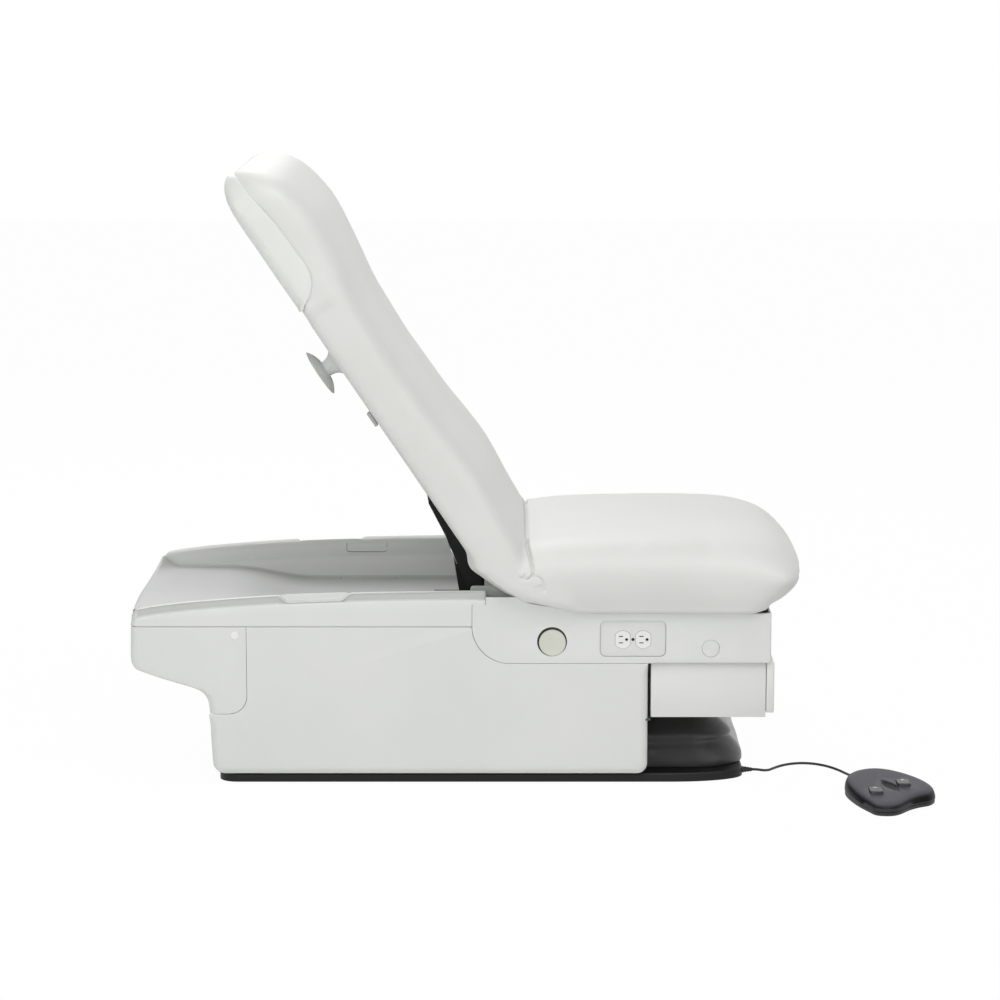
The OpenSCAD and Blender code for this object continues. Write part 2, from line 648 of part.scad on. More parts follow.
module hinge_pins() color([0.75, 0.75, 0.77])
  for (side = [-1, 1])
    rod_y(-hinge_x, hinge_z, pin_r, side > 0 ? ear_y - 2 * ear_t : -ear_y - ear_t - over,
          side > 0 ? ear_y + ear_t + over : -ear_y + 2 * ear_t);

// The pieces of the back are drawn flat, with the hinge axis at the origin, the head along -x
// and the front up, and are then raised to the angle of the back
module raised() {
  translate([-hinge_x, 0, hinge_z]) rotate([0, back_angle, 0]) children();
}
bar_w = 30;
bar_h = 10;
bar_in = 67;
bar_end = shell_from - bar_in;
bar_from = 240;
bar_y = ear_y - gap;
rear_z = -back_rear;
eye_l = 2 * ear_t - over - gap;
crank_y = 125;
crank_t = 12;
crank_l = 155;
crank_pin_r = 8;
crank_eye_r = 18;
crank_tip = crank_l * [sin(back_max / 2), -cos(back_max / 2)];
// Rear edge of the black gusset, as shares of the length of the crank
gusset_share = [[-1.12, -0.22], [-0.69, -0.27], [0.03, -0.41], [0.12, -0.28]];
module back_frame() color([0.06, 0.06, 0.07]) raised() difference() {
  union() {
    for (side = [-1, 1]) {
      block([-bar_end, side > 0 ? bar_y - bar_w : -bar_y, rear_z - bar_h],
            [-ear_r, side > 0 ? bar_y : -bar_y + bar_w, rear_z]);
      block([-2 * ear_r, side > 0 ? bar_y - eye_l : -bar_y, rear_z - bar_h],
            [0, side > 0 ? bar_y : -bar_y + eye_l, 0]);
      rod_y(0, 0, ear_r - over, side > 0 ? bar_y - eye_l : -bar_y, side > 0 ? bar_y : -bar_y + eye_l);
    }
    for (x = [-bar_end, -bar_from])
      block([x, -bar_y + bar_w, rear_z - bar_h], [x + bar_w, bar_y - bar_w, rear_z]);
    along_y(crank_y - crank_t / 2, crank_y + crank_t / 2) polygon([
      [-bar_from, rear_z - bar_h], crank_l * gusset_share[0], crank_l * gusset_share[1],
      crank_tip + crank_eye_r * [-0.77, -0.64], crank_tip + crank_eye_r * [0.77, 0.64],
      crank_l * gusset_share[3] / 2, [-bar_from, rear_z]]);
    rod_y(crank_tip[0], crank_tip[1], crank_eye_r, crank_y - crank_t / 2, crank_y + crank_t / 2);
  }
  rod_y(0, 0, pin_r + run_gap, -half_w, half_w);
  rod_y(crank_tip[0], crank_tip[1], crank_pin_r + run_gap, crank_y - crank_t, crank_y + crank_t);
}
// Black cover over the frame at the foot of the back
back_cover_half = 110;
module back_cover() color([0.03, 0.03, 0.03]) raised()
  along_y(-back_cover_half, back_cover_half)
    polygon(concat([[-bar_from + bar_w + gap, rear_z - bar_h]], [for (p = gusset_share) crank_l * p],
                   [[-ear_r - gap, rear_z], [-bar_from + bar_w + gap, rear_z]]));
bracket_l = 32;
bracket_w = 26;
bracket_t = 3;
bracket_y = 70;
module cover_brackets() color([0.75, 0.76, 0.78]) raised() {
  low = crank_l * gusset_share[1];
  high = crank_l * gusset_share[2];
  turn = atan2(high[1] - low[1], high[0] - low[0]);
  for (i = [0, 1])
    translate([low[0], 0, low[1]]) rotate([0, -turn, 0])
      block([i * (bracket_l + bracket_t), -bracket_y - bracket_w, -bracket_t],
            [i * (bracket_l + bracket_t) + bracket_l, -bracket_y, 0]);
}
board_side = 24;
module back_board() color([0.85, 0.86, 0.85]) raised()
  block([-shell_from + seam, -cushion_half + board_side, rear_z],
        [-2 * ear_r - 2 * over, cushion_half - board_side, rear_z + board_t - gap]);

// Cross-sections of the back: front and rear height along it, as shares of back_l and back_t
back_front_share = [[-0.1, 0.596], [0, 0.596], [0.03, 0.61], [0.06, 0.575], [0.11, 0.69], [0.195, 0.85],
  [0.34, 0.79], [0.5, 0.78], [0.64, 0.85], [0.735, 0.96], [0.82, 1.02], [0.87, 1], [0.927, 0.91],
  [0.963, 0.77], [0.985, 0.57], [0.996, 0.4], [1, 0.28]];
head_rear_share = [[0, -0.0588], [0.72, -0.0588], [0.78, -0.09], [0.93, -0.09], [0.965, -0.05], [0.983, 0],
  [0.993, 0.06], [1, 0.14]];
cushion_rear_share = [[-0.044, 0.47], [-0.01, 0.155], [0.02, 0.155], [0.034, -0.01], [0.95, -0.01],
  [0.98, 0.02], [0.993, 0.1], [1, 0.2]];
function front_at(a) = back_t * lookup(a / back_l, back_front_share);
function half_at(a) = let (d = max(0, a - back_l + back_corner))
  cushion_half - back_corner + sqrt(max(0, back_corner * back_corner - d * d));
corner_power = 0.5;
function squared(v) = sign(v) * pow(abs(v), corner_power);
// One point of a section: a is its place along the back and t its angle round the section
function section_point(a, half, low, high, t) =
  [-a, half * squared(cos(t)), (low + high) / 2 + (high - low) / 2 * squared(sin(t))];
section_upper = [for (i = [0 : 12]) i * 15];
shell_lower = [for (i = [8 : -1 : 0]) -172 + i * 20.5];
section_lower = concat([-174], [for (i = [0 : 8]) -172 + i * 20.5], [-6]);
back_stations_share = [0.02, 0.034, 0.06, 0.085, 0.11, 0.15, 0.195, 0.26,
  0.34, 0.42, 0.5, 0.58, 0.64, 0.68];
shell_stations_share = [0, 0.12, 0.25, 0.37, 0.48, 0.6, 0.72, 0.82, 0.89, 0.94, 0.975, 1];
shell_in = shell_t + over;
// Places in the shell region, pulled in for a wall of the given depth
function shell_a(s, wall) = shell_from + s * (shell_l - wall);
function cushion_ring(a, wall) = let (
    in_a = wall > 0 ? shell_from + (a - shell_from) * (shell_l - wall) / shell_l : a,
    low = back_t * lookup(a / back_l, cushion_rear_share), high = front_at(a),
    raise = wall > 0 ? over : 0)
  concat([for (t = section_upper) section_point(a, half_at(a), low, high, t)],
         [for (t = section_lower) section_point(in_a, half_at(a) - wall, low + raise, high, t)]);
module back_cushion() color([0.87, 0.87, 0.85]) raised() {
  end_rings = [for (angle = [56, 66, 76, 84]) let (
      a = -back_end_r * cos(angle), high = back_end_r * sin(angle),
      low = min(high - over, back_t * lookup(a / back_l, cushion_rear_share)))
    concat([for (t = section_upper) section_point(a, half_at(a), low, high, t)],
           [for (t = section_lower) section_point(a, half_at(a), low, high, t)])];
  loft(concat(end_rings,
    [for (s = back_stations_share) if (s * back_l < shell_from - 2 * over) cushion_ring(s * back_l, 0)],
    [cushion_ring(shell_from - 2 * over, 0), cushion_ring(shell_from - over, shell_in)],
    [for (s = shell_stations_share) if (s > 0) cushion_ring(shell_from + s * shell_l, shell_in)]));
}
function shell_row(s, wall) = let (
    a = shell_from + s * shell_l, low = back_t * lookup(a / back_l, head_rear_share))
  [for (t = shell_lower) section_point(shell_a(s, wall), half_at(a) - wall, low + wall, front_at(a), t)];
module head_shell() color([0.87, 0.87, 0.85]) raised()
  wall_between([for (s = shell_stations_share) shell_row(s, 0)],
               [for (s = shell_stations_share) shell_row(s, shell_t)]);

// Cord cleat and clip on the rear of the back
cleat_in = 111;
cleat_a = shell_from - cleat_in;
cleat_y = 230;
cleat_foot_r = 30;
cleat_neck_r = 15;
cleat_r = 47;
cleat_out = 32;
cleat_flare = 10;
cleat_t = 2.5;
module cleat() color([0.86, 0.86, 0.84]) raised()
  translate([-cleat_a, -cleat_y, rear_z]) rotate([180, 0, 0]) rotate_extrude($fn = fine)
    polygon(concat(
      [[0, 0], [cleat_foot_r, 0], [cleat_neck_r + cleat_t, cleat_out / 2], [cleat_neck_r, cleat_out]],
      [for (i = [1 : 8]) [cleat_neck_r + (cleat_r - cleat_neck_r) * i / 8,
        cleat_out + cleat_flare * pow(i / 8, 2)]],
      [for (i = [8 : -1 : 1]) [cleat_neck_r + (cleat_r - cleat_neck_r) * i / 8,
        cleat_out + cleat_t + cleat_flare * pow(i / 8, 2)]],
      [[cleat_neck_r, cleat_out + 2 * cleat_t], [0, cleat_out + 2 * cleat_t]]));
clip_in = 237;
clip_a = shell_from - clip_in;
clip_l = 30;
clip_w = 22;
clip_t = 7;
module rear_clip() color([0.72, 0.73, 0.71]) raised()
  block([-clip_a - clip_l / 2, -cushion_half + board_side + clip_w, rear_z - clip_t],
        [-clip_a + clip_l / 2, -cushion_half + board_side + 2 * clip_w, rear_z]);

// Linear actuator of the back: its fork drives the crank pin in an upright slot
fork_play = 2.1;
fork_seam = 0.4;
fork_slot = crank_pin_r + fork_play + fork_seam;
fork_wall = 16;
fork_t = 6;
fork_gap = 1;
pin_x = -hinge_x - crank_l * sin(back_angle - back_max / 2);
pin_z = hinge_z - crank_l * cos(back_angle - back_max / 2);
pin_low = hinge_z - crank_l;
pin_high = hinge_z - crank_l * cos(back_max / 2);
fork_x = pin_x + fork_play;
fork_in = crank_t / 2 + fork_gap;
fork_low = pin_low - crank_pin_r - fork_gap;
rod_r = 12;
rod_z = fork_low - fork_wall + rod_r;
stroke_low = 61;
stroke_high = 143;
rod_l = stroke_low + stroke_high + 4 * rod_r;
rod_from = fork_x - fork_slot - 2 * fork_wall;
housing_r = 22;
housing_x = rod_from - stroke_low - rod_r;
housing_end = rod_from - rod_l - stroke_low - rod_r;
module crank_pin() color([0.75, 0.75, 0.77])
  rod_y(pin_x, pin_z, crank_pin_r, crank_y - fork_in - fork_t, crank_y + fork_in + fork_t);
module actuator_rod() color([0.78, 0.79, 0.8]) {
  for (side = [-1, 1]) difference() {
    block([fork_x - fork_slot - fork_wall, crank_y + (side > 0 ? fork_in : -fork_in - fork_t),
           fork_low - fork_wall],
          [fork_x + fork_slot + fork_wall, crank_y + (side > 0 ? fork_in + fork_t : -fork_in),
           pin_high + fork_wall]);
    block([fork_x - fork_slot, crank_y - housing_r, fork_low],
          [fork_x + fork_slot, crank_y + housing_r, seam_z]);
  }
  block([rod_from, crank_y - fork_in - fork_t, fork_low - fork_wall],
        [fork_x - fork_slot - fork_wall, crank_y + fork_in + fork_t, rod_z + rod_r + fork_wall / 4]);
  translate([rod_from - rod_l, crank_y, rod_z]) rotate([0, 90, 0])
    cylinder(h = rod_l, r = rod_r, $fn = fine);
}
module actuator_housing() color([0.2, 0.2, 0.22]) {
  difference() {
    translate([housing_end, crank_y, rod_z]) rotate([0, 90, 0])
      cylinder(h = housing_x - housing_end, r = housing_r, $fn = fine);
    translate([housing_end + rod_r / 2, crank_y, rod_z]) rotate([0, 90, 0])
      cylinder(h = housing_x - housing_end, r = rod_r + run_gap, $fn = fine);
  }
  block([housing_end + rod_r, crank_y - 2 * housing_r, rod_z - 3 * housing_r],
        [housing_end + rod_r + 3 * housing_r, crank_y + housing_r, rod_z - housing_r]);
}
module actuator_mount() color([0.3, 0.31, 0.33])
  block([-mount_x + cross_w / 2, crank_y - housing_r, rod_z - housing_r],
        [housing_end - run_gap, crank_y + housing_r, beam_top]);

// Drawer: a housing under the seat and a box that runs out to the foot end
house_t = 3;
house_half = half_w - 2 * cover_t;
slide_t = 12;
slide_h = 34;
slide_z = 176;
runner_t = 5;
box_t = 3;
box_in = 8;
box_half = house_half - house_t - slide_t - runner_t - 2 * gap;
box_low = drawer_z + box_in;
box_high = belt_z - 2 * box_in;
module drawer_housing() color([0.8, 0.81, 0.8])
  difference() {
    block([drawer_x, -house_half, drawer_z], [drawer_front_x, house_half, belt_z]);
    block([drawer_x + house_t, -house_half + house_t, drawer_z + house_t],
          [drawer_front_x + over, house_half - house_t, belt_z - house_t]);
  }
module slide_rails() color([0.7, 0.71, 0.73])
  block_pair([drawer_x + house_t, house_half - house_t - slide_t, slide_z],
             [drawer_front_x - house_t, house_half - house_t, slide_z + slide_h]);
module drawer_runners() color([0.75, 0.76, 0.78])
  block_pair([drawer_x + 2 * house_t, box_half, slide_z + house_t],
             [drawer_front_x - house_t, box_half + runner_t, slide_z + slide_h - house_t]);
module drawer_box() color([0.78, 0.79, 0.78])
  difference() {
    block([drawer_x + 2 * house_t, -box_half, box_low], [drawer_front_x + gap, box_half, box_high]);
    block([drawer_x + 2 * house_t + box_t, -box_half + box_t, box_low + box_t],
          [drawer_front_x - box_t, box_half - box_t, belt_z]);
  }
bevel = 4;
front_low = drawer_z + box_in;
front_high = skirt_low - seam;
module drawer_front() color([0.83, 0.84, 0.83])
  along_y(-side_in + gap, side_in - gap) polygon([
    [drawer_front_x + gap, front_low], [drawer_front_x + gap + front_t, front_low],
    [drawer_front_x + gap + front_t, front_high - bevel],
    [drawer_front_x + gap + front_t - bevel, front_high],
    [drawer_front_x + gap, front_high]]);

// Leg rest: a padded tray that pulls out of the skirt
rest_x = 300;
rest_half = rest_w / 2 - slide_t;
rest_tray_t = 5;
rest_front_t = 8;
module leg_rest_guides() color([0.7, 0.71, 0.73])
  for (side = [-1, 1]) {
    block([rest_x, side > 0 ? rest_half + gap : -bearer_y, beam_top + gap],
          [skirt_x - 2 * skirt_t, side > 0 ? bearer_y : -rest_half - gap, rest_low + gap]);
    block([rest_x, side > 0 ? rest_half + gap : -rest_half - slide_t, beam_top + gap],
          [skirt_x - 2 * skirt_t, side > 0 ? rest_half + slide_t : -rest_half - gap,
           rest_low + 4 * rest_tray_t]);
  }
module leg_rest_tray() color([0.72, 0.73, 0.74])
  block([rest_x + over, -rest_half, rest_low + over],
        [skirt_x - skirt_t, rest_half, rest_low + over + rest_tray_t]);
pad_in = 6;
pad_round = 14;
pad_top = rest_high - pad_in / 2;
module leg_rest_pad() color([0.87, 0.87, 0.85]) {
  low = rest_low + over + rest_tray_t + gap;
  stations_share = [-1, -0.985, -0.95, -0.9, 0, 0.9, 0.95, 0.985, 1];
  loft([for (s = stations_share) let (
      y = s * (rest_half - pad_in), t = max(0, (abs(y) - rest_half + pad_in + pad_round) / pad_round),
      d = pad_round / 2 * (1 - sqrt(max(0, 1 - t * t))), crown = over * (1 - s * s))
    [for (p = concat(
        [[rest_x + pad_in + d, low + d / 2], [rest_x + pad_in + d, pad_top - pad_round]],
        arc([rest_x + pad_in + pad_round, pad_top - pad_round], pad_round - d, 170, 90, 5),
        [[(rest_x + skirt_x) / 2, pad_top - d + crown]],
        arc([skirt_x - 2 * skirt_t - pad_round, pad_top - pad_round], pad_round - d, 90, 10, 5),
        [[skirt_x - 2 * skirt_t - d, pad_top - pad_round], [skirt_x - 2 * skirt_t - d, low + d / 2]]))
      [p[0], y, p[1]]]]);
}
module leg_rest_front() color([0.83, 0.84, 0.83])
  block([skirt_x - skirt_t + gap, -rest_w / 2, rest_low],
        [skirt_x - skirt_t + rest_front_t, rest_w / 2, rest_high]);

// Control box on the bottom pan
control_low = [-380, -200];
control_size = [150, 160];
control_h = 84;
module control_box() color([0.22, 0.23, 0.25])
  translate([0, 0, pan_z + pan_t]) linear_extrude(control_h)
    rounded(control_low, control_low + control_size, outlet_r);

// Foot control: outline as shares of its two sizes, round its middle
pedal_share = [[-0.475, 0.19], [-0.465, 0.02], [-0.39, -0.21], [-0.29, -0.4], [-0.22, -0.5],
  [-0.08, -0.525], [0.04, -0.48], [0.19, -0.34], [0.31, -0.26], [0.45, -0.19], [0.52, -0.07],
  [0.49, 0.06], [0.38, 0.21],
  [0.23, 0.34], [0.05, 0.44], [-0.13, 0.47], [-0.31, 0.42], [-0.43, 0.32]];
function pedal_point(k, p) = [pedal_x + k * p[0] * pedal_w, -pedal_y + k * p[1] * pedal_l];
pedal_near_share = min([for (p = pedal_share) p[1]]);
pedal_far_share = max([for (p = pedal_share) p[1]]);
// Height of the sloping top at a place across the chair, given as a share of pedal_l
function pedal_top(share) =
  pedal_h - pedal_fall * (pedal_far_share - share) / (pedal_far_share - pedal_near_share);
function pedal_level(k, z) = [for (p = pedal_share) [each pedal_point(k, p), z]];
function pedal_slope(k, rise) = [for (p = pedal_share) [each pedal_point(k, p), rise * pedal_top(k * p[1])]];
pedal_base_h = 7;
pedal_foot_share = 0.985;
// Levels of the cover's wall and shoulder: size of the outline, and height as a share of the sloping top
shoulder_share = [[0.965, 0.66], [0.93, 0.84], [0.885, 0.95], [0.83, 0.99], [0.7, 1]];
module pedal_base() color([0.1, 0.1, 0.11])
  linear_extrude(pedal_base_h) polygon([for (p = pedal_share) pedal_point(pedal_foot_share - seam / pedal_l, p)]);
button_out = 4;
button_pocket = 12;
button_corner = 7;
button_left_share = [-0.175, -0.17];
button_right_share = [0.165, 0.02];
module button_outline(grow) {
  rounded([-button_w / 2 - grow, -button_l / 2 - grow], [button_w / 2 + grow, button_l / 2 + grow],
          button_corner + grow);
}
// Leaf-shaped recess between the buttons
leaf_share = [0.01, -0.04];
leaf_l = 80;
leaf_w = 18;
leaf_in = 6;
leaf_turn = 20;
module leaf_outline() {
  r = (leaf_l * leaf_l + leaf_w * leaf_w) / (4 * leaf_w);
  intersection_for (side = [-1, 1]) translate([side * (r - leaf_w / 2), 0]) circle(r, $fn = 2 * fine);
}
module pedal_cover() color([0.2, 0.17, 0.2])
  difference() {
    loft(concat([pedal_level(pedal_foot_share, pedal_base_h), pedal_level(1, pedal_base_h + cord_d)],
                [for (level = shoulder_share) pedal_slope(level[0], level[1])]));
    for (p = [button_left_share, button_right_share])
      translate([each pedal_point(1, p), pedal_top(p[1]) - button_pocket])
        linear_extrude(button_pocket + pedal_fall) button_outline(seam);
    translate([each pedal_point(1, leaf_share), pedal_top(leaf_share[1]) - leaf_in])
      rotate([0, 0, leaf_turn]) linear_extrude(pedal_fall) leaf_outline();
    translate([relief_x, relief_y - cord_d, relief_z]) rotate([-90, 0, 0])
      cylinder(h = pedal_l, r = cord_d + gap / 2, $fn = fine);
  }
module pedal_button(p) color([0.16, 0.14, 0.16])
  translate([each pedal_point(1, p), pedal_top(p[1]) - button_pocket + button_travel + gap])
    linear_extrude(button_pocket - button_travel - gap + button_out) button_outline(0);
module pedal_button_left() pedal_button(button_left_share);
module pedal_button_right() pedal_button(button_right_share);

// Cord on the floor from the base plate to the foot control, at its real length
relief_share = [-0.289, 0.42];
relief_x = pedal_x + relief_share[0] * pedal_w;
relief_y = -pedal_y + relief_share[1] * pedal_l;
relief_z = 16;
relief_l = 18;
// Where the cord leaves its relief on the base plate
exit_l = 20;
exit_in = 67;
exit_y = -base_w / 2 + exit_in;
exit_z = 9;
cord_from = [base_foot + exit_l, exit_y];
cord_to = [relief_x, relief_y + relief_l];
// Route of the cord: shares of the way along and across, and its height as a share of its diameter
cord_share = [[0, 0, 1.8], [0.052, 0, 1.72], [0.119, -0.093, 1.04], [0.175, -0.244, 0.56],
  [0.227, -0.419, 0.5], [0.289, -0.605, 0.5], [0.361, -0.767, 0.5], [0.454, -0.884, 0.5],
  [0.557, -0.919, 0.5], [0.655, -0.849, 0.5], [0.742, -0.698, 0.5], [0.814, -0.488, 0.5],
  [0.876, -0.233, 0.5], [0.928, 0.07, 0.56], [0.964, 0.372, 1], [0.99, 0.651, 2.2],
  [1, 0.86, 3.08], [1, 1, 3.2]];
cord_points = [for (p = cord_share)
  [cord_from[0] + p[0] * (cord_to[0] - cord_from[0]), cord_from[1] + p[1] * (cord_to[1] - cord_from[1]),
   p[2] * cord_d]];
relief_wide = 1.3;
relief_narrow = 0.7;
cord_sides = 8;
cord_steps = 3;
// A smooth curve through the points
function pick(list, i) = list[max(0, min(len(list) - 1, i))];
function smooth(p, q, r, s, t) = 0.5 * (2 * q + (r - p) * t + (2 * p - 5 * q + 4 * r - s) * t * t
  + (3 * q - 3 * r + s - p) * t * t * t);
function smooth_path(points, steps) = concat(
  [for (i = [0 : len(points) - 2], k = [0 : steps - 1])
    smooth(pick(points, i - 1), points[i], points[i + 1], pick(points, i + 2), k / steps)],
  [points[len(points) - 1]]);
function unit(v) = v / norm(v);
function tube_ring(path, i, r) = let (
    ahead = i == 0 ? [1, 0, 0] : i == len(path) - 1 ? [0, -1, 0] : unit(path[i + 1] - path[i - 1]),
    side = unit(cross([0, 0, 1], ahead)), up = cross(ahead, side))
  [for (k = [0 : cord_sides - 1]) let (t = 360 * (k + 0.5) / cord_sides)
    path[i] + r * (side * cos(t) + up * sin(t))];
cord_path = smooth_path(cord_points, cord_steps);
module cord() color([0.04, 0.04, 0.04])
  loft([for (i = [0 : len(cord_path) - 1]) tube_ring(cord_path, i, cord_d / 2)]);
module cord_relief() color([0.05, 0.05, 0.05])
  translate([base_foot, exit_y, exit_z]) rotate([0, 90, 0])
    cylinder(h = exit_l, r1 = cord_d * relief_wide, r2 = cord_d * relief_narrow, $fn = fine);
module pedal_relief() color([0.05, 0.05, 0.05])
  translate([relief_x, relief_y - cord_d + gap, relief_z]) rotate([-90, 0, 0])
    cylinder(h = relief_l + cord_d - gap, r1 = cord_d, r2 = cord_d * relief_narrow, $fn = fine);

base_plate();
column_flange();
column_base();
column_middle();
column_top();
lift_motor();
boot();
boot_ring();
upper_frame();
seat_bearers();
bottom_pan();
side_cover_near();
side_cover_far();
end_cover();
hip_cover_near();
hip_cover_far();
rail_near();
rail_far();
tray();
front_skirt();
outlet_plate();
outlet_box();
outlet_receptacle();
lock_caps();
trim_caps();
panel_fasteners();
seat_board();
seat_cushion();
hinge_brackets();
hinge_pins();
back_frame();
back_cover();
cover_brackets();
back_board();
back_cushion();
head_shell();
cleat();
rear_clip();
actuator_housing();
actuator_mount();
actuator_rod();
crank_pin();
drawer_housing();
slide_rails();
drawer_runners();
drawer_box();
drawer_front();
leg_rest_guides();
leg_rest_tray();
leg_rest_pad();
leg_rest_front();
control_box();
pedal_base();
pedal_cover();
pedal_button_left();
pedal_button_right();
pedal_relief();
cord();
cord_relief();
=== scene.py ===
# %% [markdown]
# # A power exam chair, dressed over its frame
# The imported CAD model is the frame: it says where everything is and how it moves. This lesson gives each
# visible part its finished shape and its finish. Lengths are in metres, +X points to the foot end, -Y to the
# viewer and +Z up. Every piece is built in place, so its object stays at the origin.

# %% Load the frame
import bpy
import bmesh
import json
import math
import numpy as np
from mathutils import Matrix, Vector

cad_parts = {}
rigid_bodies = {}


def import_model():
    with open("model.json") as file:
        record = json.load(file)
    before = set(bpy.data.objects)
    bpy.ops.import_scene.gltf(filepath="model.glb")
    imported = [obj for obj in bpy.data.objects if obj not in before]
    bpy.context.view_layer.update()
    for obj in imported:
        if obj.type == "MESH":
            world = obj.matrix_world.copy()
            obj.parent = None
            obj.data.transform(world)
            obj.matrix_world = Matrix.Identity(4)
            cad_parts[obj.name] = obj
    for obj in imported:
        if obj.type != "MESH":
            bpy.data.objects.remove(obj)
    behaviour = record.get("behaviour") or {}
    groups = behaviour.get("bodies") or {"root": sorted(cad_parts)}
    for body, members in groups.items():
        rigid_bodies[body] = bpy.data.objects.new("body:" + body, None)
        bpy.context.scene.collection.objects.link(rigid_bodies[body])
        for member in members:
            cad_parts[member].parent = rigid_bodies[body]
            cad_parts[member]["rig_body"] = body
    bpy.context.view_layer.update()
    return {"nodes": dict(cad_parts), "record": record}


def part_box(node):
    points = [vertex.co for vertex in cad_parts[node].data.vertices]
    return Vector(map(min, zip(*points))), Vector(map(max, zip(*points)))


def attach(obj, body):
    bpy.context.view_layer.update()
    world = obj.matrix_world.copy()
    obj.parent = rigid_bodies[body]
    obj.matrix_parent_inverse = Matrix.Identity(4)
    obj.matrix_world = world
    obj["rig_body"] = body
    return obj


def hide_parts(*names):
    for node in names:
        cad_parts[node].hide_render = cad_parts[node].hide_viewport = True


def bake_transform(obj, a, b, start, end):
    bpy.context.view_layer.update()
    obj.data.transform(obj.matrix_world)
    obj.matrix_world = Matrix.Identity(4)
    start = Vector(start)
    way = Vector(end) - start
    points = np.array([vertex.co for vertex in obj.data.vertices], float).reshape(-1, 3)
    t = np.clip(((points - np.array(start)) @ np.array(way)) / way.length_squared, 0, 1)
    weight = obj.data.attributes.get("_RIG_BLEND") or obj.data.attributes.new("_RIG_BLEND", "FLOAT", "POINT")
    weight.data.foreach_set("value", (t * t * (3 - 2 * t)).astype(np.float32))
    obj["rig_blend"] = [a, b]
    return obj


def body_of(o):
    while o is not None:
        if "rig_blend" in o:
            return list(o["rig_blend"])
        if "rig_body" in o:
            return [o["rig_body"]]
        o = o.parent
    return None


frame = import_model()

# %% [markdown]
# ## Camera, floor and light
# The photograph is a side view from a little above, taken with a long lens. A long lens keeps the far rail
# almost as large as the near one. The floor and the backdrop are white for the camera, and the light on the
# chair stays soft and plain, so that its pale colours don't wash out.

# %% Camera
CAMERA_TILT = 8.96


def put(name, data):
    """A new object with this data, linked to the scene."""
    obj = bpy.data.objects.new(name, data)
    bpy.context.scene.collection.objects.link(obj)
    return obj


camera_data = bpy.data.cameras.new("photo_camera")
camera_data.lens = 124.2
camera_data.sensor_width = 36
camera = put("photo_camera", camera_data)
camera.location = (0, -6.767, 1.570)
camera.rotation_euler = (math.radians(90 - CAMERA_TILT), 0, 0)
bpy.context.scene.camera = camera
bpy.context.scene.view_settings.view_transform = "Standard"
print("camera height", camera.location.z)


# %% Floor, backdrop and lamps
WHITE_SHARE, SKY_STRENGTH = 0.98, 0.46


def new_nodes(tree, *kinds):
    """One new node of each kind."""
    return [tree.nodes.new(kind) for kind in kinds]


def wire(tree, *pairs):
    """Links sockets in pairs, each from an output to an input."""
    for start, end in pairs:
        tree.links.new(start, end)


def seen_by_eye(tree):
    """A value that is 1 where the camera or a mirror looks, so that both see plain white."""
    path, seen = new_nodes(tree, "ShaderNodeLightPath", "ShaderNodeMath")
    seen.operation = "MAXIMUM"
    wire(tree, (path.outputs["Is Camera Ray"], seen.inputs[0]), (path.outputs["Is Glossy Ray"], seen.inputs[1]))
    return seen.outputs[0]


def pale_ground(name):
    """A floor finish that is white to the camera and keeps a soft part of the shadow."""
    finish = bpy.data.materials.new(name)
    finish.use_nodes = True
    tree = finish.node_tree
    tree.nodes.clear()
    out, mix, matt, glow, share = new_nodes(
        tree, "ShaderNodeOutputMaterial", "ShaderNodeMixShader", "ShaderNodeBsdfDiffuse", "ShaderNodeEmission",
        "ShaderNodeMath")
    matt.inputs["Color"].default_value = (0.9, 0.9, 0.9, 1)
    share.operation = "MULTIPLY"
    share.inputs[1].default_value = WHITE_SHARE
    wire(tree, (seen_by_eye(tree), share.inputs[0]), (share.outputs[0], mix.inputs[0]),
         (matt.outputs[0], mix.inputs[1]), (glow.outputs[0], mix.inputs[2]),
         (mix.outputs[0], out.inputs["Surface"]))
    return finish


ground_mesh = bpy.data.meshes.new("floor")
ground_mesh.from_pydata([(-12, -9, 0), (12, -9, 0), (12, 14, 0), (-12, 14, 0)], [], [(0, 1, 2, 3)])
ground = put("floor", ground_mesh)
ground.data.materials.append(pale_ground("pale_floor"))

world = bpy.data.worlds.new("studio")
bpy.context.scene.world = world
world.use_nodes = True
sky = world.node_tree
sky.nodes.clear()
sky_out, sky_mix, dim, white = new_nodes(
    sky, "ShaderNodeOutputWorld", "ShaderNodeMixShader", "ShaderNodeBackground", "ShaderNodeBackground")
dim.inputs["Strength"].default_value = SKY_STRENGTH
white.inputs["Color"].default_value = (1, 1, 1, 1)
wire(sky, (seen_by_eye(sky), sky_mix.inputs[0]), (dim.outputs[0], sky_mix.inputs[1]),
     (white.outputs[0], sky_mix.inputs[2]), (sky_mix.outputs[0], sky_out.inputs["Surface"]))


def softbox(name, place, aim, size, power):
    """A square area lamp that looks at a point."""
    lamp = bpy.data.lights.new(name, "AREA")
    lamp.size = size
    lamp.energy = power
    box = put(name, lamp)
    box.location = place
    box.rotation_euler = (Vector(aim) - Vector(place)).to_track_quat("-Z", "Y").to_euler()


softbox("key", (0.9, -2.0, 4.0), (0, 0, 0.4), 2.6, 80)
softbox("front", (-1.2, -6.0, 1.6), (0, 0, 0.4), 3.0, 50)
softbox("tray_fill", (-3.4, -2.6, 2.4), (-0.4, 0.1, 0.35), 2.0, 26)
softbox("back", (-1.0, 3.6, 3.4), (0, 0, 0.5), 2.6, 60)
print("lamps: 4 softboxes and a dim sky")

# %% [markdown]
# ## Small helpers for building
# Everything below is made of three things: a mesh from points and faces, a smooth line through a few
# measured points, and a loft through rings of points. Points are given in millimetres.

# %% Mesh helpers
MM = 0.001


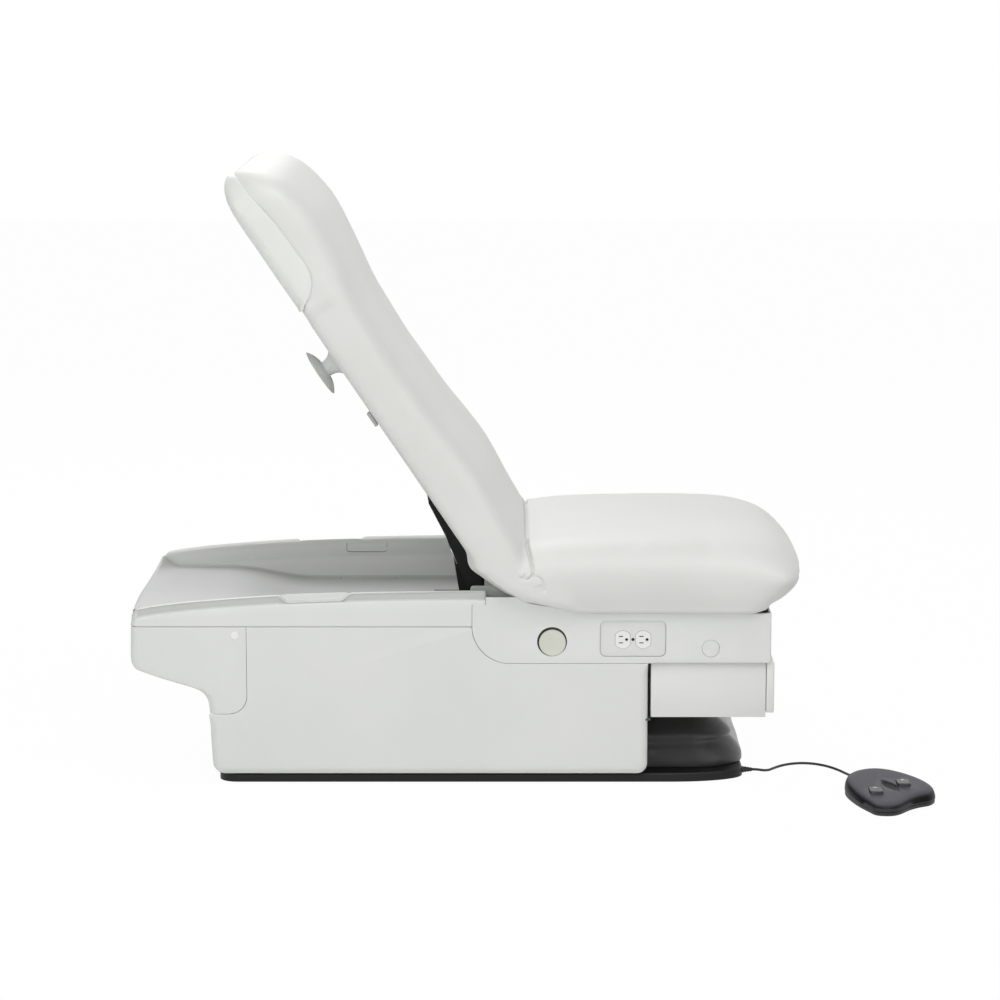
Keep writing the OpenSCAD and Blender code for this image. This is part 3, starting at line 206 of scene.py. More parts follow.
def smooth(obj, sharp=40):
    """Shades a piece smooth, with creases above an angle in degrees."""
    obj.data.shade_smooth()
    if sharp:
        obj.data.set_sharp_from_angle(angle=math.radians(sharp))
    return obj


def tidy_normals(obj):
    """Merges doubles and turns every face outwards."""
    work = bmesh.new()
    work.from_mesh(obj.data)
    bmesh.ops.remove_doubles(work, verts=work.verts, dist=1e-6)
    bmesh.ops.recalc_face_normals(work, faces=work.faces)
    work.to_mesh(obj.data)
    work.free()


def piece(name, points, faces, finish=None, sharp=32):
    """A mesh object from points and faces, shaded smooth with creases above an angle."""
    mesh = bpy.data.meshes.new(name)
    mesh.from_pydata((np.array(points, float) * MM).tolist(), [], [tuple(f) for f in faces])
    mesh.update()
    obj = put(name, mesh)
    tidy_normals(obj)
    if finish:
        mesh.materials.append(finish)
    return smooth(obj, sharp)


def points_of(mesh):
    """The points of a mesh in metres, one row each."""
    co = np.empty(len(mesh.vertices) * 3, np.float32)
    mesh.vertices.foreach_get("co", co)
    return co.reshape(-1, 3).astype(float)


def unit(value):
    """The value held between 0 and 1."""
    return min(1.0, max(0.0, value))


def eased(value):
    """The value held between 0 and 1, with a soft start and a soft end."""
    value = unit(value)
    return value * value * (3 - 2 * value)


def quarter(count):
    """A number of even angles from 0 to a right angle."""
    return np.linspace(0, math.pi / 2, count)


def full_turn(count):
    """A number of even angles once round."""
    return np.linspace(0, 2 * math.pi, count, endpoint=False)


def smooth_line(points, steps, closed=False):
    """A Catmull-Rom curve through points, with a number of steps for each span."""
    p = np.array(points, float)
    n = len(p)
    out = []
    for i in range(n if closed else n - 1):
        pick = (lambda k: p[k % n]) if closed else (lambda k: p[max(0, min(n - 1, k))])
        a, b, c, d = pick(i - 1), pick(i), pick(i + 1), pick(i + 2)
        for k in range(steps):
            t = k / steps
            out.append(0.5 * (2 * b + (c - a) * t + (2 * a - 5 * b + 4 * c - d) * t * t
                              + (3 * b - 3 * c + d - a) * t ** 3))
    if not closed:
        out.append(p[-1])
    return np.array(out)


def even(points, count, closed=False):
    """The same line with its points at equal distances."""
    p = np.array(points, float)
    if closed:
        p = np.vstack([p, p[:1]])
    run = np.concatenate([[0], np.cumsum(np.linalg.norm(np.diff(p, axis=0), axis=1))])
    at = np.linspace(0, run[-1], count + 1 if closed else count)
    if closed:
        at = at[:-1]
    return np.stack([np.interp(at, run, p[:, k]) for k in range(p.shape[1])], 1)


def loft(name, rings, finish=None, closed=True, caps=True, sharp=32):
    """A skin through rings that all have the same number of points."""
    rings = np.array(rings, float)
    n, m = rings.shape[:2]
    faces = []
    for i in range(n - 1):
        for j in range(m if closed else m - 1):
            k = (j + 1) % m
            faces.append((i * m + j, i * m + k, (i + 1) * m + k, (i + 1) * m + j))
    if caps and closed:
        faces.append(tuple(range(m - 1, -1, -1)))
        faces.append(tuple((n - 1) * m + j for j in range(m)))
    return piece(name, rings.reshape(-1, 3), faces, finish, sharp)


def finished_mesh(obj):
    """The mesh that an object's modifiers make of it."""
    depsgraph = bpy.context.evaluated_depsgraph_get()
    depsgraph.update()
    return bpy.data.meshes.new_from_object(obj.evaluated_get(depsgraph))


def with_modifier(obj, kind, **settings):
    """Adds a modifier, applies it and leaves a plain mesh."""
    modifier = obj.modifiers.new(kind.lower(), kind)
    for key, value in settings.items():
        setattr(modifier, key, value)
    mesh = finished_mesh(obj)
    obj.modifiers.clear()
    obj.data = mesh
    return obj


def dress(obj, body, slot, *nodes):
    """A finished rigid piece: it rides on its body and stands for CAD nodes, which it hides. The slot is not used.
    """
    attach(obj, body)
    if nodes:
        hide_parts(*nodes)
    return obj


print("helpers ready")

# %% [markdown]
# ## Finishes
# Every finish is made of nodes that read Object coordinates, so a pattern stays on its piece. A moulded cover
# has a fine spark-eroded grain that breaks up the gloss, a slow change of tone, and edges that are rubbed a
# little lighter. Vinyl has a pebble grain and a soft sheen. Rubber-coated cloth, steel, paint and plywood
# each get their own scale of detail.


# %% Colours and the common part of a finish
def tone(red, green, blue):
    """A colour measured on screen from 0 to 255, as the linear value that a shader takes."""
    return tuple((c / 255 / 12.92) if c <= 10.31 else ((c / 255 + 0.055) / 1.055) ** 2.4
                 for c in (red, green, blue)) + (1.0,)


def finish_of(name, base, low, high, mottle, grain, depth, rough, wear=0.0, wear_tone=None, grain_kind="noise",
              stretch=(1, 1, 1), mixed=None, **shader_values):
    """Tone varies from low to high over patches, gloss varies with it, and a grain gives the bump."""
    finish = bpy.data.materials.new(name)
    finish.use_nodes = True
    tree = finish.node_tree
    shader = tree.nodes["Principled BSDF"]
    shader.inputs["Base Color"].default_value = tone(*base)
    for key, value in shader_values.items():
        shader.inputs[key.replace("_", " ")].default_value = value
    place, mapping, patch, ramp, gloss, bump = new_nodes(
        tree, "ShaderNodeTexCoord", "ShaderNodeMapping", "ShaderNodeTexNoise", "ShaderNodeValToRGB",
        "ShaderNodeMapRange", "ShaderNodeBump")
    mapping.inputs["Scale"].default_value = stretch
    patch.inputs["Scale"].default_value = mottle
    patch.inputs["Detail"].default_value = 5
    for stop, at, shade in zip(ramp.color_ramp.elements, (0.32, 0.68), (low, high)):
        stop.position, stop.color = at, tone(*shade)
    wire(tree, (place.outputs["Object"], mapping.inputs["Vector"]),
         (mapping.outputs[0], patch.inputs["Vector"]), (patch.outputs["Fac"], ramp.inputs["Fac"]))

    def tinted(colour, share, tint):
        blend = tree.nodes.new("ShaderNodeMix")
        blend.data_type = "RGBA"
        blend.inputs["B"].default_value = tone(*tint)
        wire(tree, (share, blend.inputs["Factor"]), (colour, blend.inputs["A"]))
        return blend.outputs["Result"]

    colour = ramp.outputs["Color"]
    if mixed:
        share = tree.nodes.new("ShaderNodeAttribute")
        share.attribute_name = mixed[0]
        colour = tinted(colour, share.outputs["Fac"], mixed[1])
    if wear:
        about, edge = new_nodes(tree, "ShaderNodeNewGeometry", "ShaderNodeMapRange")
        for key, value in (("From Min", 0.52), ("From Max", 0.6), ("To Max", wear)):
            edge.inputs[key].default_value = value
        wire(tree, (about.outputs["Pointiness"], edge.inputs["Value"]))
        colour = tinted(colour, edge.outputs[0], wear_tone or high)
    gloss.inputs["To Min"].default_value, gloss.inputs["To Max"].default_value = rough
    kind, height, values = {
        "pebble": ("ShaderNodeTexVoronoi", "Distance", {}),
        "weave": ("ShaderNodeTexWave", "Fac", {"Distortion": 1.5, "Detail": 1}),
        "noise": ("ShaderNodeTexNoise", "Fac", {"Detail": 3})}[grain_kind]
    fine = tree.nodes.new(kind)
    if grain_kind == "pebble":
        fine.feature = "SMOOTH_F1"
    for key, value in {"Scale": grain, **values}.items():
        fine.inputs[key].default_value = value
    bump.inputs["Strength"].default_value = 0.6
    bump.inputs["Distance"].default_value = depth
    wire(tree, (colour, shader.inputs["Base Color"]), (patch.outputs["Fac"], gloss.inputs["Value"]),
         (gloss.outputs[0], shader.inputs["Roughness"]), (mapping.outputs[0], fine.inputs["Vector"]),
         (fine.outputs[height], bump.inputs["Height"]), (bump.outputs[0], shader.inputs["Normal"]))
    return finish


# %% The finishes of the chair
# name, middle tone, darkest and lightest tone, size of the patches, size of the grain, its depth, gloss
cover_plastic = finish_of("moulded_cover", (222, 223, 220), (218, 220, 217), (224, 225, 222), 3.0, 1400,
                          0.00012, (0.42, 0.52), wear=0.5, wear_tone=(232, 233, 231))
# The rail's finish mixes in a grey by a value on each point: painted shade on the set-back band under the lip, and
# a little grey inside the shell.
rail_plastic = finish_of("moulded_rail", (222, 223, 220), (218, 220, 217), (224, 225, 222), 3.0, 1400, 0.00012,
                         (0.38, 0.5), wear=0.5, wear_tone=(226, 227, 226), mixed=("grey_and_band_shade", (164, 165, 163)))
tray_plastic = finish_of("moulded_tray", (194, 195, 194), (190, 192, 191), (198, 199, 198), 3.0, 1400, 0.00012,
                         (0.38, 0.5), wear=0.6, wear_tone=(212, 213, 212))
vinyl = finish_of("seamless_vinyl", (221, 221, 217), (218, 219, 215), (223, 223, 220), 4.0, 850, 0.00022,
                  (0.42, 0.56), grain_kind="pebble", Sheen_Weight=0.08, Sheen_Roughness=0.4,
                  Specular_IOR_Level=0.4)
shell_plastic = finish_of("head_shell_plastic", (224, 226, 221), (221, 223, 218), (226, 228, 223), 4.0, 1600,
                          0.00008, (0.3, 0.38), wear=0.4, wear_tone=(234, 235, 232))
plug_plastic = finish_of("cream_plug", (214, 215, 203), (210, 211, 198), (216, 217, 206), 30, 1500, 0.0001,
                         (0.35, 0.45))
outlet_plastic = finish_of("gloss_outlet", (238, 238, 235), (236, 236, 233), (240, 240, 238), 40, 2500, 0.00003,
                           (0.16, 0.24), wear=0.3)
dark_plastic = finish_of("pedal_plastic", (76, 76, 82), (72, 72, 78), (80, 80, 86), 20, 1100, 0.0002,
                         (0.36, 0.5), wear=0.35, wear_tone=(96, 96, 102), mixed=("lowness", (4, 4, 5)),
                         Specular_IOR_Level=0.12)
black_rubber = finish_of("black_rubber", (26, 24, 25), (22, 20, 21), (32, 30, 31), 24, 900, 0.0002, (0.45, 0.6),
                         wear=0.3, wear_tone=(60, 58, 60))
boot_cloth = finish_of("coated_boot_cloth", (22, 19, 20), (17, 15, 16), (30, 27, 28), 9, 520, 0.0003,
                       (0.24, 0.36), grain_kind="weave", Coat_Weight=0.15)
black_paint = finish_of("base_paint", (12, 12, 13), (9, 9, 10), (15, 15, 16), 10, 700, 0.0002, (0.38, 0.52),
                        wear=0.25, wear_tone=(40, 40, 42), Specular_IOR_Level=0.3)
frame_paint = finish_of("frame_paint", (132, 134, 138), (126, 128, 132), (138, 140, 144), 9, 800, 0.0002,
                        (0.4, 0.55), wear=0.5, wear_tone=(170, 171, 174))
alloy = finish_of("anodised_alloy", (196, 198, 202), (190, 192, 196), (202, 204, 208), 12, 1200, 0.00006,
                  (0.25, 0.36), stretch=(1, 1, 0.03), Metallic=1.0)
steel = finish_of("zinc_steel", (190, 192, 196), (182, 184, 188), (198, 200, 204), 30, 900, 0.00006,
                  (0.24, 0.4), Metallic=1.0)
plywood = finish_of("plywood", (186, 160, 124), (170, 142, 104), (200, 176, 140), 14, 300, 0.0003, (0.55, 0.7),
                    stretch=(0.12, 1, 1))
black_cloth = finish_of("black_cloth", (20, 20, 21), (16, 16, 17), (26, 26, 27), 30, 700, 0.0003, (0.75, 0.9),
                        grain_kind="weave", Sheen_Weight=0.2)
pan_plastic = finish_of("pan_plastic", (70, 70, 73), (64, 64, 67), (76, 76, 79), 12, 900, 0.0002, (0.5, 0.65),
                        wear=0.4, wear_tone=(104, 104, 107))
rocker_plastic = finish_of("rocker_plastic", (40, 38, 42), (36, 34, 38), (46, 44, 48), 30, 1200, 0.00015,
                           (0.3, 0.42), wear=0.6, wear_tone=(84, 82, 86))
red_lens = finish_of("red_lens", (190, 40, 34), (176, 32, 28), (204, 52, 44), 60, 2000, 0.00002, (0.08, 0.14),
                     Coat_Weight=0.5)
# Near-black, used for painted shade in gaps, holes and grooves, and for the small dark screws and dots.
gap_shade_and_screws = finish_of("gap_shade_and_screws", (44, 44, 46), (38, 38, 40), (50, 50, 52), 20, 900, 0.0001, (0.6, 0.75))
clip_plastic = finish_of("clip_plastic", (176, 178, 174), (170, 172, 168), (182, 184, 180), 40, 1400, 0.0001,
                         (0.35, 0.5), wear=0.4)
print("finishes:", len(bpy.data.materials))

# %% [markdown]
# ## The cord of the foot control
# The cord comes first, because it has a real length. It leaves a tapered relief on the base plate, lies on the
# floor in one loose bend and climbs into the foot control. The photograph shows it from end to end. It is a
# tube that Geometry Nodes sweep along the route, so its thickness is one named input.


# %% Node trees: the common parts and a tube along a curve
def input_tree(name, **kinds):
    """An empty tree: the tree, the identifiers of its named inputs, its start's outputs and its end."""
    tree = bpy.data.node_groups.new(name, "GeometryNodeTree")
    face = tree.interface
    face.new_socket("Geometry", in_out="INPUT", socket_type="NodeSocketGeometry")
    names = {label: face.new_socket(label, in_out="INPUT", socket_type=kind).identifier
             for label, kind in kinds.items()}
    face.new_socket("Geometry", in_out="OUTPUT", socket_type="NodeSocketGeometry")
    start, end = new_nodes(tree, "NodeGroupInput", "NodeGroupOutput")
    return tree, names, start.outputs, end.inputs[0]


def painted(tree, made, start, end):
    """The last steps of a tree: Realize Instances and Set Material."""
    real, paint = new_nodes(tree, "GeometryNodeRealizeInstances", "GeometryNodeSetMaterial")
    wire(tree, (made, real.inputs[0]), (real.outputs[0], paint.inputs["Geometry"]),
         (start["Finish"], paint.inputs["Material"]), (paint.outputs[0], end))


def tube_tree(name):
    """Geometry Nodes: Curve to Mesh with a round profile and closed ends."""
    tree, names, start, end = input_tree(name, Radius="NodeSocketFloat", Sides="NodeSocketInt",
                                         Finish="NodeSocketMaterial")
    ring, sweep = new_nodes(tree, "GeometryNodeCurvePrimitiveCircle", "GeometryNodeCurveToMesh")
    sweep.inputs["Fill Caps"].default_value = True
    wire(tree, (start["Sides"], ring.inputs["Resolution"]), (start["Radius"], ring.inputs["Radius"]),
         (start["Geometry"], sweep.inputs["Curve"]), (ring.outputs[0], sweep.inputs["Profile Curve"]))
    painted(tree, sweep.outputs[0], start, end)
    return tree, names


def run_nodes(obj, tree, names, **values):
    """Runs a tree on an object and returns its result as a plain mesh object of the same name."""
    modifier = obj.modifiers.new("nodes", "NODES")
    modifier.node_group = tree
    for key, value in values.items():
        modifier[names[key]] = value
    mesh, name = finished_mesh(obj), obj.name
    bpy.data.objects.remove(obj)
    made = put(name, mesh)
    mesh.shade_smooth()
    return made


tube_nodes, tube_names = tube_tree("tube_along_curve")


def tube(name, points, radius, finish, sides=16):
    """A round tube along a line of points, in metres like its radius."""
    line = bpy.data.curves.new(name, "CURVE")
    line.dimensions = "3D"
    spline = line.splines.new("POLY")
    spline.points.add(len(points) - 1)
    spline.points.foreach_set("co", [v for p in points for v in (*map(float, p), 1.0)])
    obj = put(name, line)
    return run_nodes(obj, tube_nodes, tube_names, Radius=radius, Sides=sides, Finish=finish)


# %% The route and the cord
cord_start, cord_stop = np.array([490, -226]), np.array([684.03, -312])
cord_share = [[0, 0, 9], [0.052, 0, 8.6], [0.119, -0.093, 5.2], [0.175, -0.244, 2.8], [0.227, -0.419, 2.5],
              [0.289, -0.605, 2.5], [0.361, -0.767, 2.5], [0.454, -0.884, 2.5], [0.557, -0.919, 2.5],
              [0.655, -0.849, 2.5], [0.742, -0.698, 2.5], [0.814, -0.488, 2.5], [0.876, -0.233, 2.5],
              [0.928, 0.07, 2.8], [0.964, 0.372, 5], [0.99, 0.651, 11], [1, 0.86, 15.4], [1, 1, 16]]
cord_route = [(*(cord_start + np.array([a, b]) * (cord_stop - cord_start)), z) for a, b, z in cord_share]
cord_line = smooth_line(cord_route, 8) * MM
cord = dress(tube("floor_cord", cord_line, 2.5 * MM, black_rubber, 14), "base", "cord_black", "cord")


# %% Tapered reliefs with ribs at both ends
RIBS = 4


def ribbed_relief(name, at, along, length, wide, narrow):
    """A turned cone with rounded ribs, made by revolving its outline."""
    outline = [(0, 0.1 * wide), (0, wide)]
    for i in range(RIBS):
        a, b = i / RIBS, (i + 0.62) / RIBS
        for share, drop in ((a, 0), (a + 0.1 / RIBS, 0), (b, 0), (b + 0.02, 0.14), ((i + 0.93) / RIBS, 0.14)):
            outline.append((share * length, (wide + (narrow - wide) * share) * (1 - drop)))
    outline += [(length, narrow), (length, 0.1 * narrow)]
    along = Vector(along).normalized()
    side = along.orthogonal().normalized()
    up = along.cross(side)
    rings = [[Vector(at) + along * x + (side * math.cos(t) + up * math.sin(t)) * r
              for t in full_turn(28)] for x, r in outline]
    return loft(name, rings, black_rubber, sharp=40)


dress(ribbed_relief("cord_exit_relief", (470, -226, 9), (1, 0, 0), 20, 6.5, 3.5), "base", "cord_black",
      "cord_relief")
dress(ribbed_relief("pedal_cord_relief", (684, -334.7, 16), (0, 1, 0), 22.7, 5, 3.5), "base", "cord_black",
      "pedal_relief")
print("reliefs at", [round(v, 3) for v in cord_line[0]], "and", [round(v, 3) for v in cord_line[-1]])

# %% [markdown]
# ## Moulded covers
# The body is closed by plastic covers about 4 mm thick. A real cover is a flat face whose free edges roll over
# in a generous radius, while the edges along a seam are almost sharp, so that two covers meet in a thin line.
# One helper makes them all: it offsets the outline inwards ring by ring, along a quarter circle whose radius is
# given for each point. Holes are cut afterwards with Booleans.

# %% A panel with a rolled border
HALF_BODY, SIDES = 330.0, ((-1, "near"), (1, "far"))


def arc(centre, radius, start, stop, steps=12):
    """Points of an arc, with angles in degrees."""
    t = np.radians(np.linspace(start, stop, steps + 1))
    return [(centre[0] + radius * math.cos(a), centre[1] + radius * math.sin(a)) for a in t]


def inwards(outline, amount):
    """The outline moved inwards by an amount for each point; the outline runs anticlockwise."""
    before = outline - np.roll(outline, 1, 0)
    after = np.roll(outline, -1, 0) - outline
    n1 = np.stack([-before[:, 1], before[:, 0]], 1) / np.linalg.norm(before, axis=1, keepdims=True)
    n2 = np.stack([-after[:, 1], after[:, 0]], 1) / np.linalg.norm(after, axis=1, keepdims=True)
    n = n1 + n2
    n /= np.linalg.norm(n, axis=1, keepdims=True)
    reach = np.asarray(amount) / np.maximum(0.6, (n * n1).sum(1))
    return outline + n * reach[:, None]


def moulded_panel(name, outline, side, finish, roll=1.2, wall=4.0, face=HALF_BODY):
    """A cover in the x-z plane whose border rolls over; side is -1 for the near one and 1 for the far one."""
    outline = np.array(outline, float)
    area = np.sum(outline[:, 0] * np.roll(outline[:, 1], -1) - np.roll(outline[:, 0], -1) * outline[:, 1])
    radii = np.array([roll(*p) for p in outline]) if callable(roll) else np.full(len(outline), float(roll))
    if area < 0:
        outline, radii = outline[::-1], radii[::-1]
    rings = [(inwards(outline, radii + 1.5), np.zeros(len(outline)))]
    rings += [(inwards(outline, radii * (1 - math.cos(t))), radii * (1 - math.sin(t)))
              for t in quarter(8)[::-1]]
    deep = np.maximum(radii + 1.5, wall)
    rings += [(outline, deep), (inwards(outline, 2.2), deep),
              (inwards(outline, np.maximum(3.6, radii * 0.9)), np.full(len(outline), wall))]
    points = [(x, side * (face - d), z) for ring, depth in rings for (x, z), d in zip(ring, depth)]
    n = len(outline)
    faces = [(i * n + j, i * n + (j + 1) % n, (i + 1) * n + (j + 1) % n, (i + 1) * n + j)
             for i in range(len(rings) - 1) for j in range(n)]
    faces += [tuple(range(n)), tuple(range((len(rings) - 1) * n, len(rings) * n))]
    return piece(name, points, faces, finish, sharp=35)


def cut(obj, cutters, sharp=35):
    """Cuts solids out of a piece with exact Booleans."""
    for cutter in cutters:
        with_modifier(obj, "BOOLEAN", operation="DIFFERENCE", solver="EXACT", object=cutter)
        bpy.data.objects.remove(cutter)
    return smooth(obj, sharp)


def disc(name, x, z, radius, y_from, y_to, finish=None, edge=0.0, sides=64):
    """A round plug along y: a flat front at y_from with a rounded edge, and a back at y_to."""
    turn, deep = (1 if y_to > y_from else -1), abs(y_to - y_from)
    profile = [(0, 0), (radius * 0.5, 0), (radius * 0.8, 0)]
    profile += [(radius - edge * (1 - math.sin(t)), edge * (1 - math.cos(t)))
                for t in quarter(6)] if edge else [(radius, 0)]
    profile += [(radius, deep), (0, deep)]
    rings = [[(x + max(r, 0.01) * math.cos(t), y_from + turn * d, z + max(r, 0.01) * math.sin(t))
              for t in full_turn(sides)] for r, d in profile]
    return loft(name, rings, finish, sharp=35)


def round_box(low, high, corner, start=0, steps=12):
    """The outline of a box with round corners, anticlockwise from the corner at start degrees."""
    outline = []
    for angle in range(start, start + 360, 90):
        right, upper = angle % 360 in (0, 270), angle % 360 in (0, 90)
        across = high[0] - corner if right else low[0] + corner
        up = high[1] - corner if upper else low[1] + corner
        outline += arc((across, up), corner, angle, angle + 90, steps)
    return np.array(outline)


def slab(name, low, high, radius, y_from, y_to, finish=None, edge=0.6):
    """A plate with round corners in the x-z plane, its front at y_from, with slightly rounded edges."""
    outline = round_box(low, high, radius, -90)
    turn = 1 if y_to > y_from else -1
    rings = []
    for t in quarter(4):
        ring = inwards(outline, edge * (1 - math.sin(t)))
        rings.append([(p[0], y_from + turn * edge * (1 - math.cos(t)), p[1]) for p in ring])
    rings.append([(p[0], y_to, p[1]) for p in outline])
    return loft(name, rings, finish, sharp=35)


print("panel helpers ready")

# %% Side covers
SEAM_TOP, HIP_LOW, END_LOW = 310.4, 239.4, 141.4
side_outline = ([(-482.4, SEAM_TOP)] + [(x, SEAM_TOP) for x in (-340, -200, -120)] + [(-53.6, SEAM_TOP)]
                + arc((18.4, 311.4), 72, 181, 270, 24) + [(150, HIP_LOW), (240, HIP_LOW), (282, HIP_LOW)]
                + [(282, z) for z in (233, 226, 218, 180, 120, 80)] + arc((262, 43), 20, 0, -90, 12)
                + [(x, 23) for x in (200, 60, -120, -300, -460)] + arc((-526, 47), 24, -90, -175, 12)
                + [(-552, 80), (-553.5, 115), (-554.6, 128), (-555, 135), (-555, END_LOW)]
                + [(-548, END_LOW), (-535, END_LOW)] + arc((-516.4, 175.4), 34, -90, 0, 12))


def side_roll(x, z):
    """Seam edges stay almost sharp; the free edges roll over in 15 mm."""
    foot = unit((HIP_LOW - z) / 20) if x > 255 else 0.0
    head = unit((END_LOW - z) / 20) if x < -495 else 0.0
    return 1.2 + 13.8 * (1.0 if z < 60 else max(foot, head))


for side, tag in SIDES:
    dress(moulded_panel("lower_cover_" + tag, side_outline, side, cover_plastic, side_roll), "upper",
          "cover_white", "side_cover_" + tag)
print("side covers:", len(side_outline), "outline points")

# %% Hip covers with their holes
hip_outline = ([(-27.4, 368), (0, 368), (26, 368)] + arc((26, 340), 28, 90, 45, 4)[1:]
               + [(60, 355), (85, 351), (110, 347), (145, 341), (175, 337)]
               + [(200, 337), (400, 337), (516, 337), (516, 300), (516, 260), (516, 248), (516, 240)]
               + [(508, 240), (500, 240), (400, 240), (300, 240), (286, 240), (282, 240), (150, 240)]
               + arc((19, 312), 72, 270, 181, 24) + [(-53, 330), (-53, 353.6), (-40, 353.6), (-27.4, 353.6)])


def hip_roll(x, z):
    """The edge above the drawer and the foot edge are free."""
    under = unit((x - 282) / 10) if z < 241 else 0.0
    front = 1.0 if x > 515 else 0.0
    return 1.0 + 3.0 * max(under, front)


PLUG, CAP = (99.0, 282.0), (401.0, 269.0)
for side, tag in SIDES:
    hip = moulded_panel("hip_cover_" + tag + "_panel", hip_outline, side, cover_plastic, hip_roll)
    face_y = side * HALF_BODY
    cutters = [disc("hole", *PLUG, 28.5, face_y + side * 6, face_y - side * 30),
               disc("hole", *CAP, 17.0, face_y + side * 6, face_y - side * 30)]
    if side < 0:
        cutters.append(slab("hole", (190, 253), (316, 323), 12, face_y - 6, face_y + 30))
    dress(cut(hip, cutters), "upper", "cover_white", "hip_cover_" + tag)
    # A dark disc behind each plug hole is painted shade: it shows in the gap round the plug as the shadow there.
    dress(disc("plug_gap_shade_" + tag, *PLUG, 33.2, side * 321.0, side * 325.4, gap_shade_and_screws), "upper", "plug_cream")
    plug = disc("round_plug_" + tag, PLUG[0] + 0.8, PLUG[1] - 2.6, 25.6, side * 327.2, side * 321.2,
                plug_plastic, edge=1.2)
    dress(plug, "upper", "plug_cream", "lock_caps")
    dress(disc("trim_cap_" + tag, *CAP, 16.5, face_y, side * 325.5, cover_plastic, edge=0.7), "upper",
          "cover_white", "trim_caps")
print("hip covers with plugs at", PLUG, "and caps at", CAP)

# %% [markdown]
# ## Head-end cover
# This cover wraps round the head end in one U, hangs down at both sides and slopes away underneath. Its side
# outline gives the place of the end wall at every height, so the U is lofted from the bottom up, with a
# generous radius at the two upright corners, and then gets its wall.

# %% Head-end cover
end_profile = smooth_line([(-554.5, 142), (-556.5, 160), (-562, 174), (-574, 185), (-595, 193.5), (-640, 207),
                           (-678, 220), (-694, 226.5), (-701, 235), (-704, 248), (-704, 270), (-703.6, 290),
                           (-703, 310.4)], 6)
END_CORNER, END_BOW = 16.0, 16.0
SEAM_X, SEAM_CURVE, SEAM_BEND = -483.0, 34, 176


def end_level(x_end, z):
    """One level of the U, from the near seam round the head end to the far seam."""
    drop = max(0.0, SEAM_BEND - z)
    curve = math.sqrt(max(0.0, SEAM_CURVE ** 2 - drop * drop))
    x_seam = SEAM_X - SEAM_CURVE + curve if z < SEAM_BEND else SEAM_X
    r, flat = END_CORNER, HALF_BODY - END_CORNER
    near = [(x, -HALF_BODY) for x in np.linspace(x_seam, x_end + r, 9)]
    near += [(x_end + r - r * math.sin(t), -HALF_BODY + r - r * math.cos(t)) for t in quarter(8)[1:]]
    bow = END_BOW * unit((z - 190) / 50)
    end = [(x_end - bow * (1 - (y / flat) ** 2), y) for y in np.linspace(-flat, flat, 26)[1:-1]]
    return [(x, y, z) for x, y in near + end + [(x, -y) for x, y in near[::-1]]]


end_rows = [end_level(x, z) for x, z in end_profile]
end_panel = loft("head_end_cover", end_rows, cover_plastic, closed=False, sharp=50)
with_modifier(end_panel, "SOLIDIFY", thickness=0.0036, offset=-1, use_even_offset=True)
tidy_normals(end_panel)
with_modifier(end_panel, "BEVEL", width=0.0009, segments=2, limit_method="ANGLE", angle_limit=math.radians(60))
dress(smooth(end_panel), "upper", "cover_white", "end_cover")
print("head-end cover rows:", len(end_rows))

# %% [markdown]
# ## Rails
# Each rail stands 60 mm above the seam. Outside it has a white face up to a soft shoulder, then a set-back band
# under a thin lip, and inside it falls to the tray in two steps. A hand notch is scooped out of the lip. The
# section is lofted along x with close rings, so that the notch stays smooth. A value on each point tells the
# finish how grey it is: the inside of the shell is a little greyer, and the band under the lip gets painted shade.

# %% Rail sections
rail_top_line = smooth_line([(-702, 327.5), (-699.5, 334), (-695, 339), (-684, 345), (-634.6, 352.8),
                             (-560, 360.5), (-425.7, 370), (-280, 375), (-150, 377.5), (-28, 379)], 10)
NOTCH_DEEP = 14.0


def notch(x):
    """How deep the hand notch is at x: smooth shoulders and a flat bottom."""
    return NOTCH_DEEP * eased(unit((x + 424) / 22) * unit((-280 - x) / 24))


def rail_section(x, side):
    """The closed section of a rail at x, up the outer face, over the lip and down the inner steps."""
    top = float(np.interp(x, rail_top_line[:, 0], rail_top_line[:, 1]))
    low = 311.6 if x < -53.6 else 353.6
    lip, scoop = top - notch(x), notch(x) / NOTCH_DEEP
    head = max(0.0, END_CORNER - (x + 702))
    out = HALF_BODY - END_CORNER + math.sqrt(max(0.0, END_CORNER ** 2 - head ** 2))
    hip = max(top - 17, low + 1.2)
    foot = 293.0 if x > -690 else 312.5
    ledge = max(top - 34, foot + 4)
    outer = [(out, low), (out, (low + hip) / 2), (out, hip - 2.2), (out - 0.6, hip - 0.4),
             (out - 2.4, hip + 0.8), (out - 5.2, hip + 1.0), (out - 7.0, hip + 1.6),
             (out - 7.6, min(hip + 4, lip - 1.4)), (out - 7.0, lip - 1.9), (out - 5.0 + scoop, lip - 1.3)]
    over = [(out - 4.6 + scoop, lip - 0.3), (out - 6.6, lip + 0.1), (out - 11, lip - 0.4 * scoop),
            (out - 18, lip - 0.4), (out - 21 - scoop, top - 2 - 9 * scoop),
            (out - 23 - 0.6 * scoop, top - 2.4 + 1.6 * scoop), (out - 27, top - 5 + 2.6 * scoop)]
    inner = [(out - 30, max(top - 12, ledge + 3)), (out - 33, ledge + 2), (out - 36, ledge + 0.4),
             (out - 38.6, ledge - 1.4), (out - 39.8, ledge - 4), (290.2, foot)]
    under = [(293.4, foot), (out - 35.5, ledge - 5.5), (out - 30, ledge - 3.5), (out - 22, hip - 2),
             (out - 11, hip - 3.2), (out - 8, hip - 3.6), (out - 4, hip - 4), (out - 4, low)]
    return [(x, side * y, z) for y, z in outer + over + inner + under]


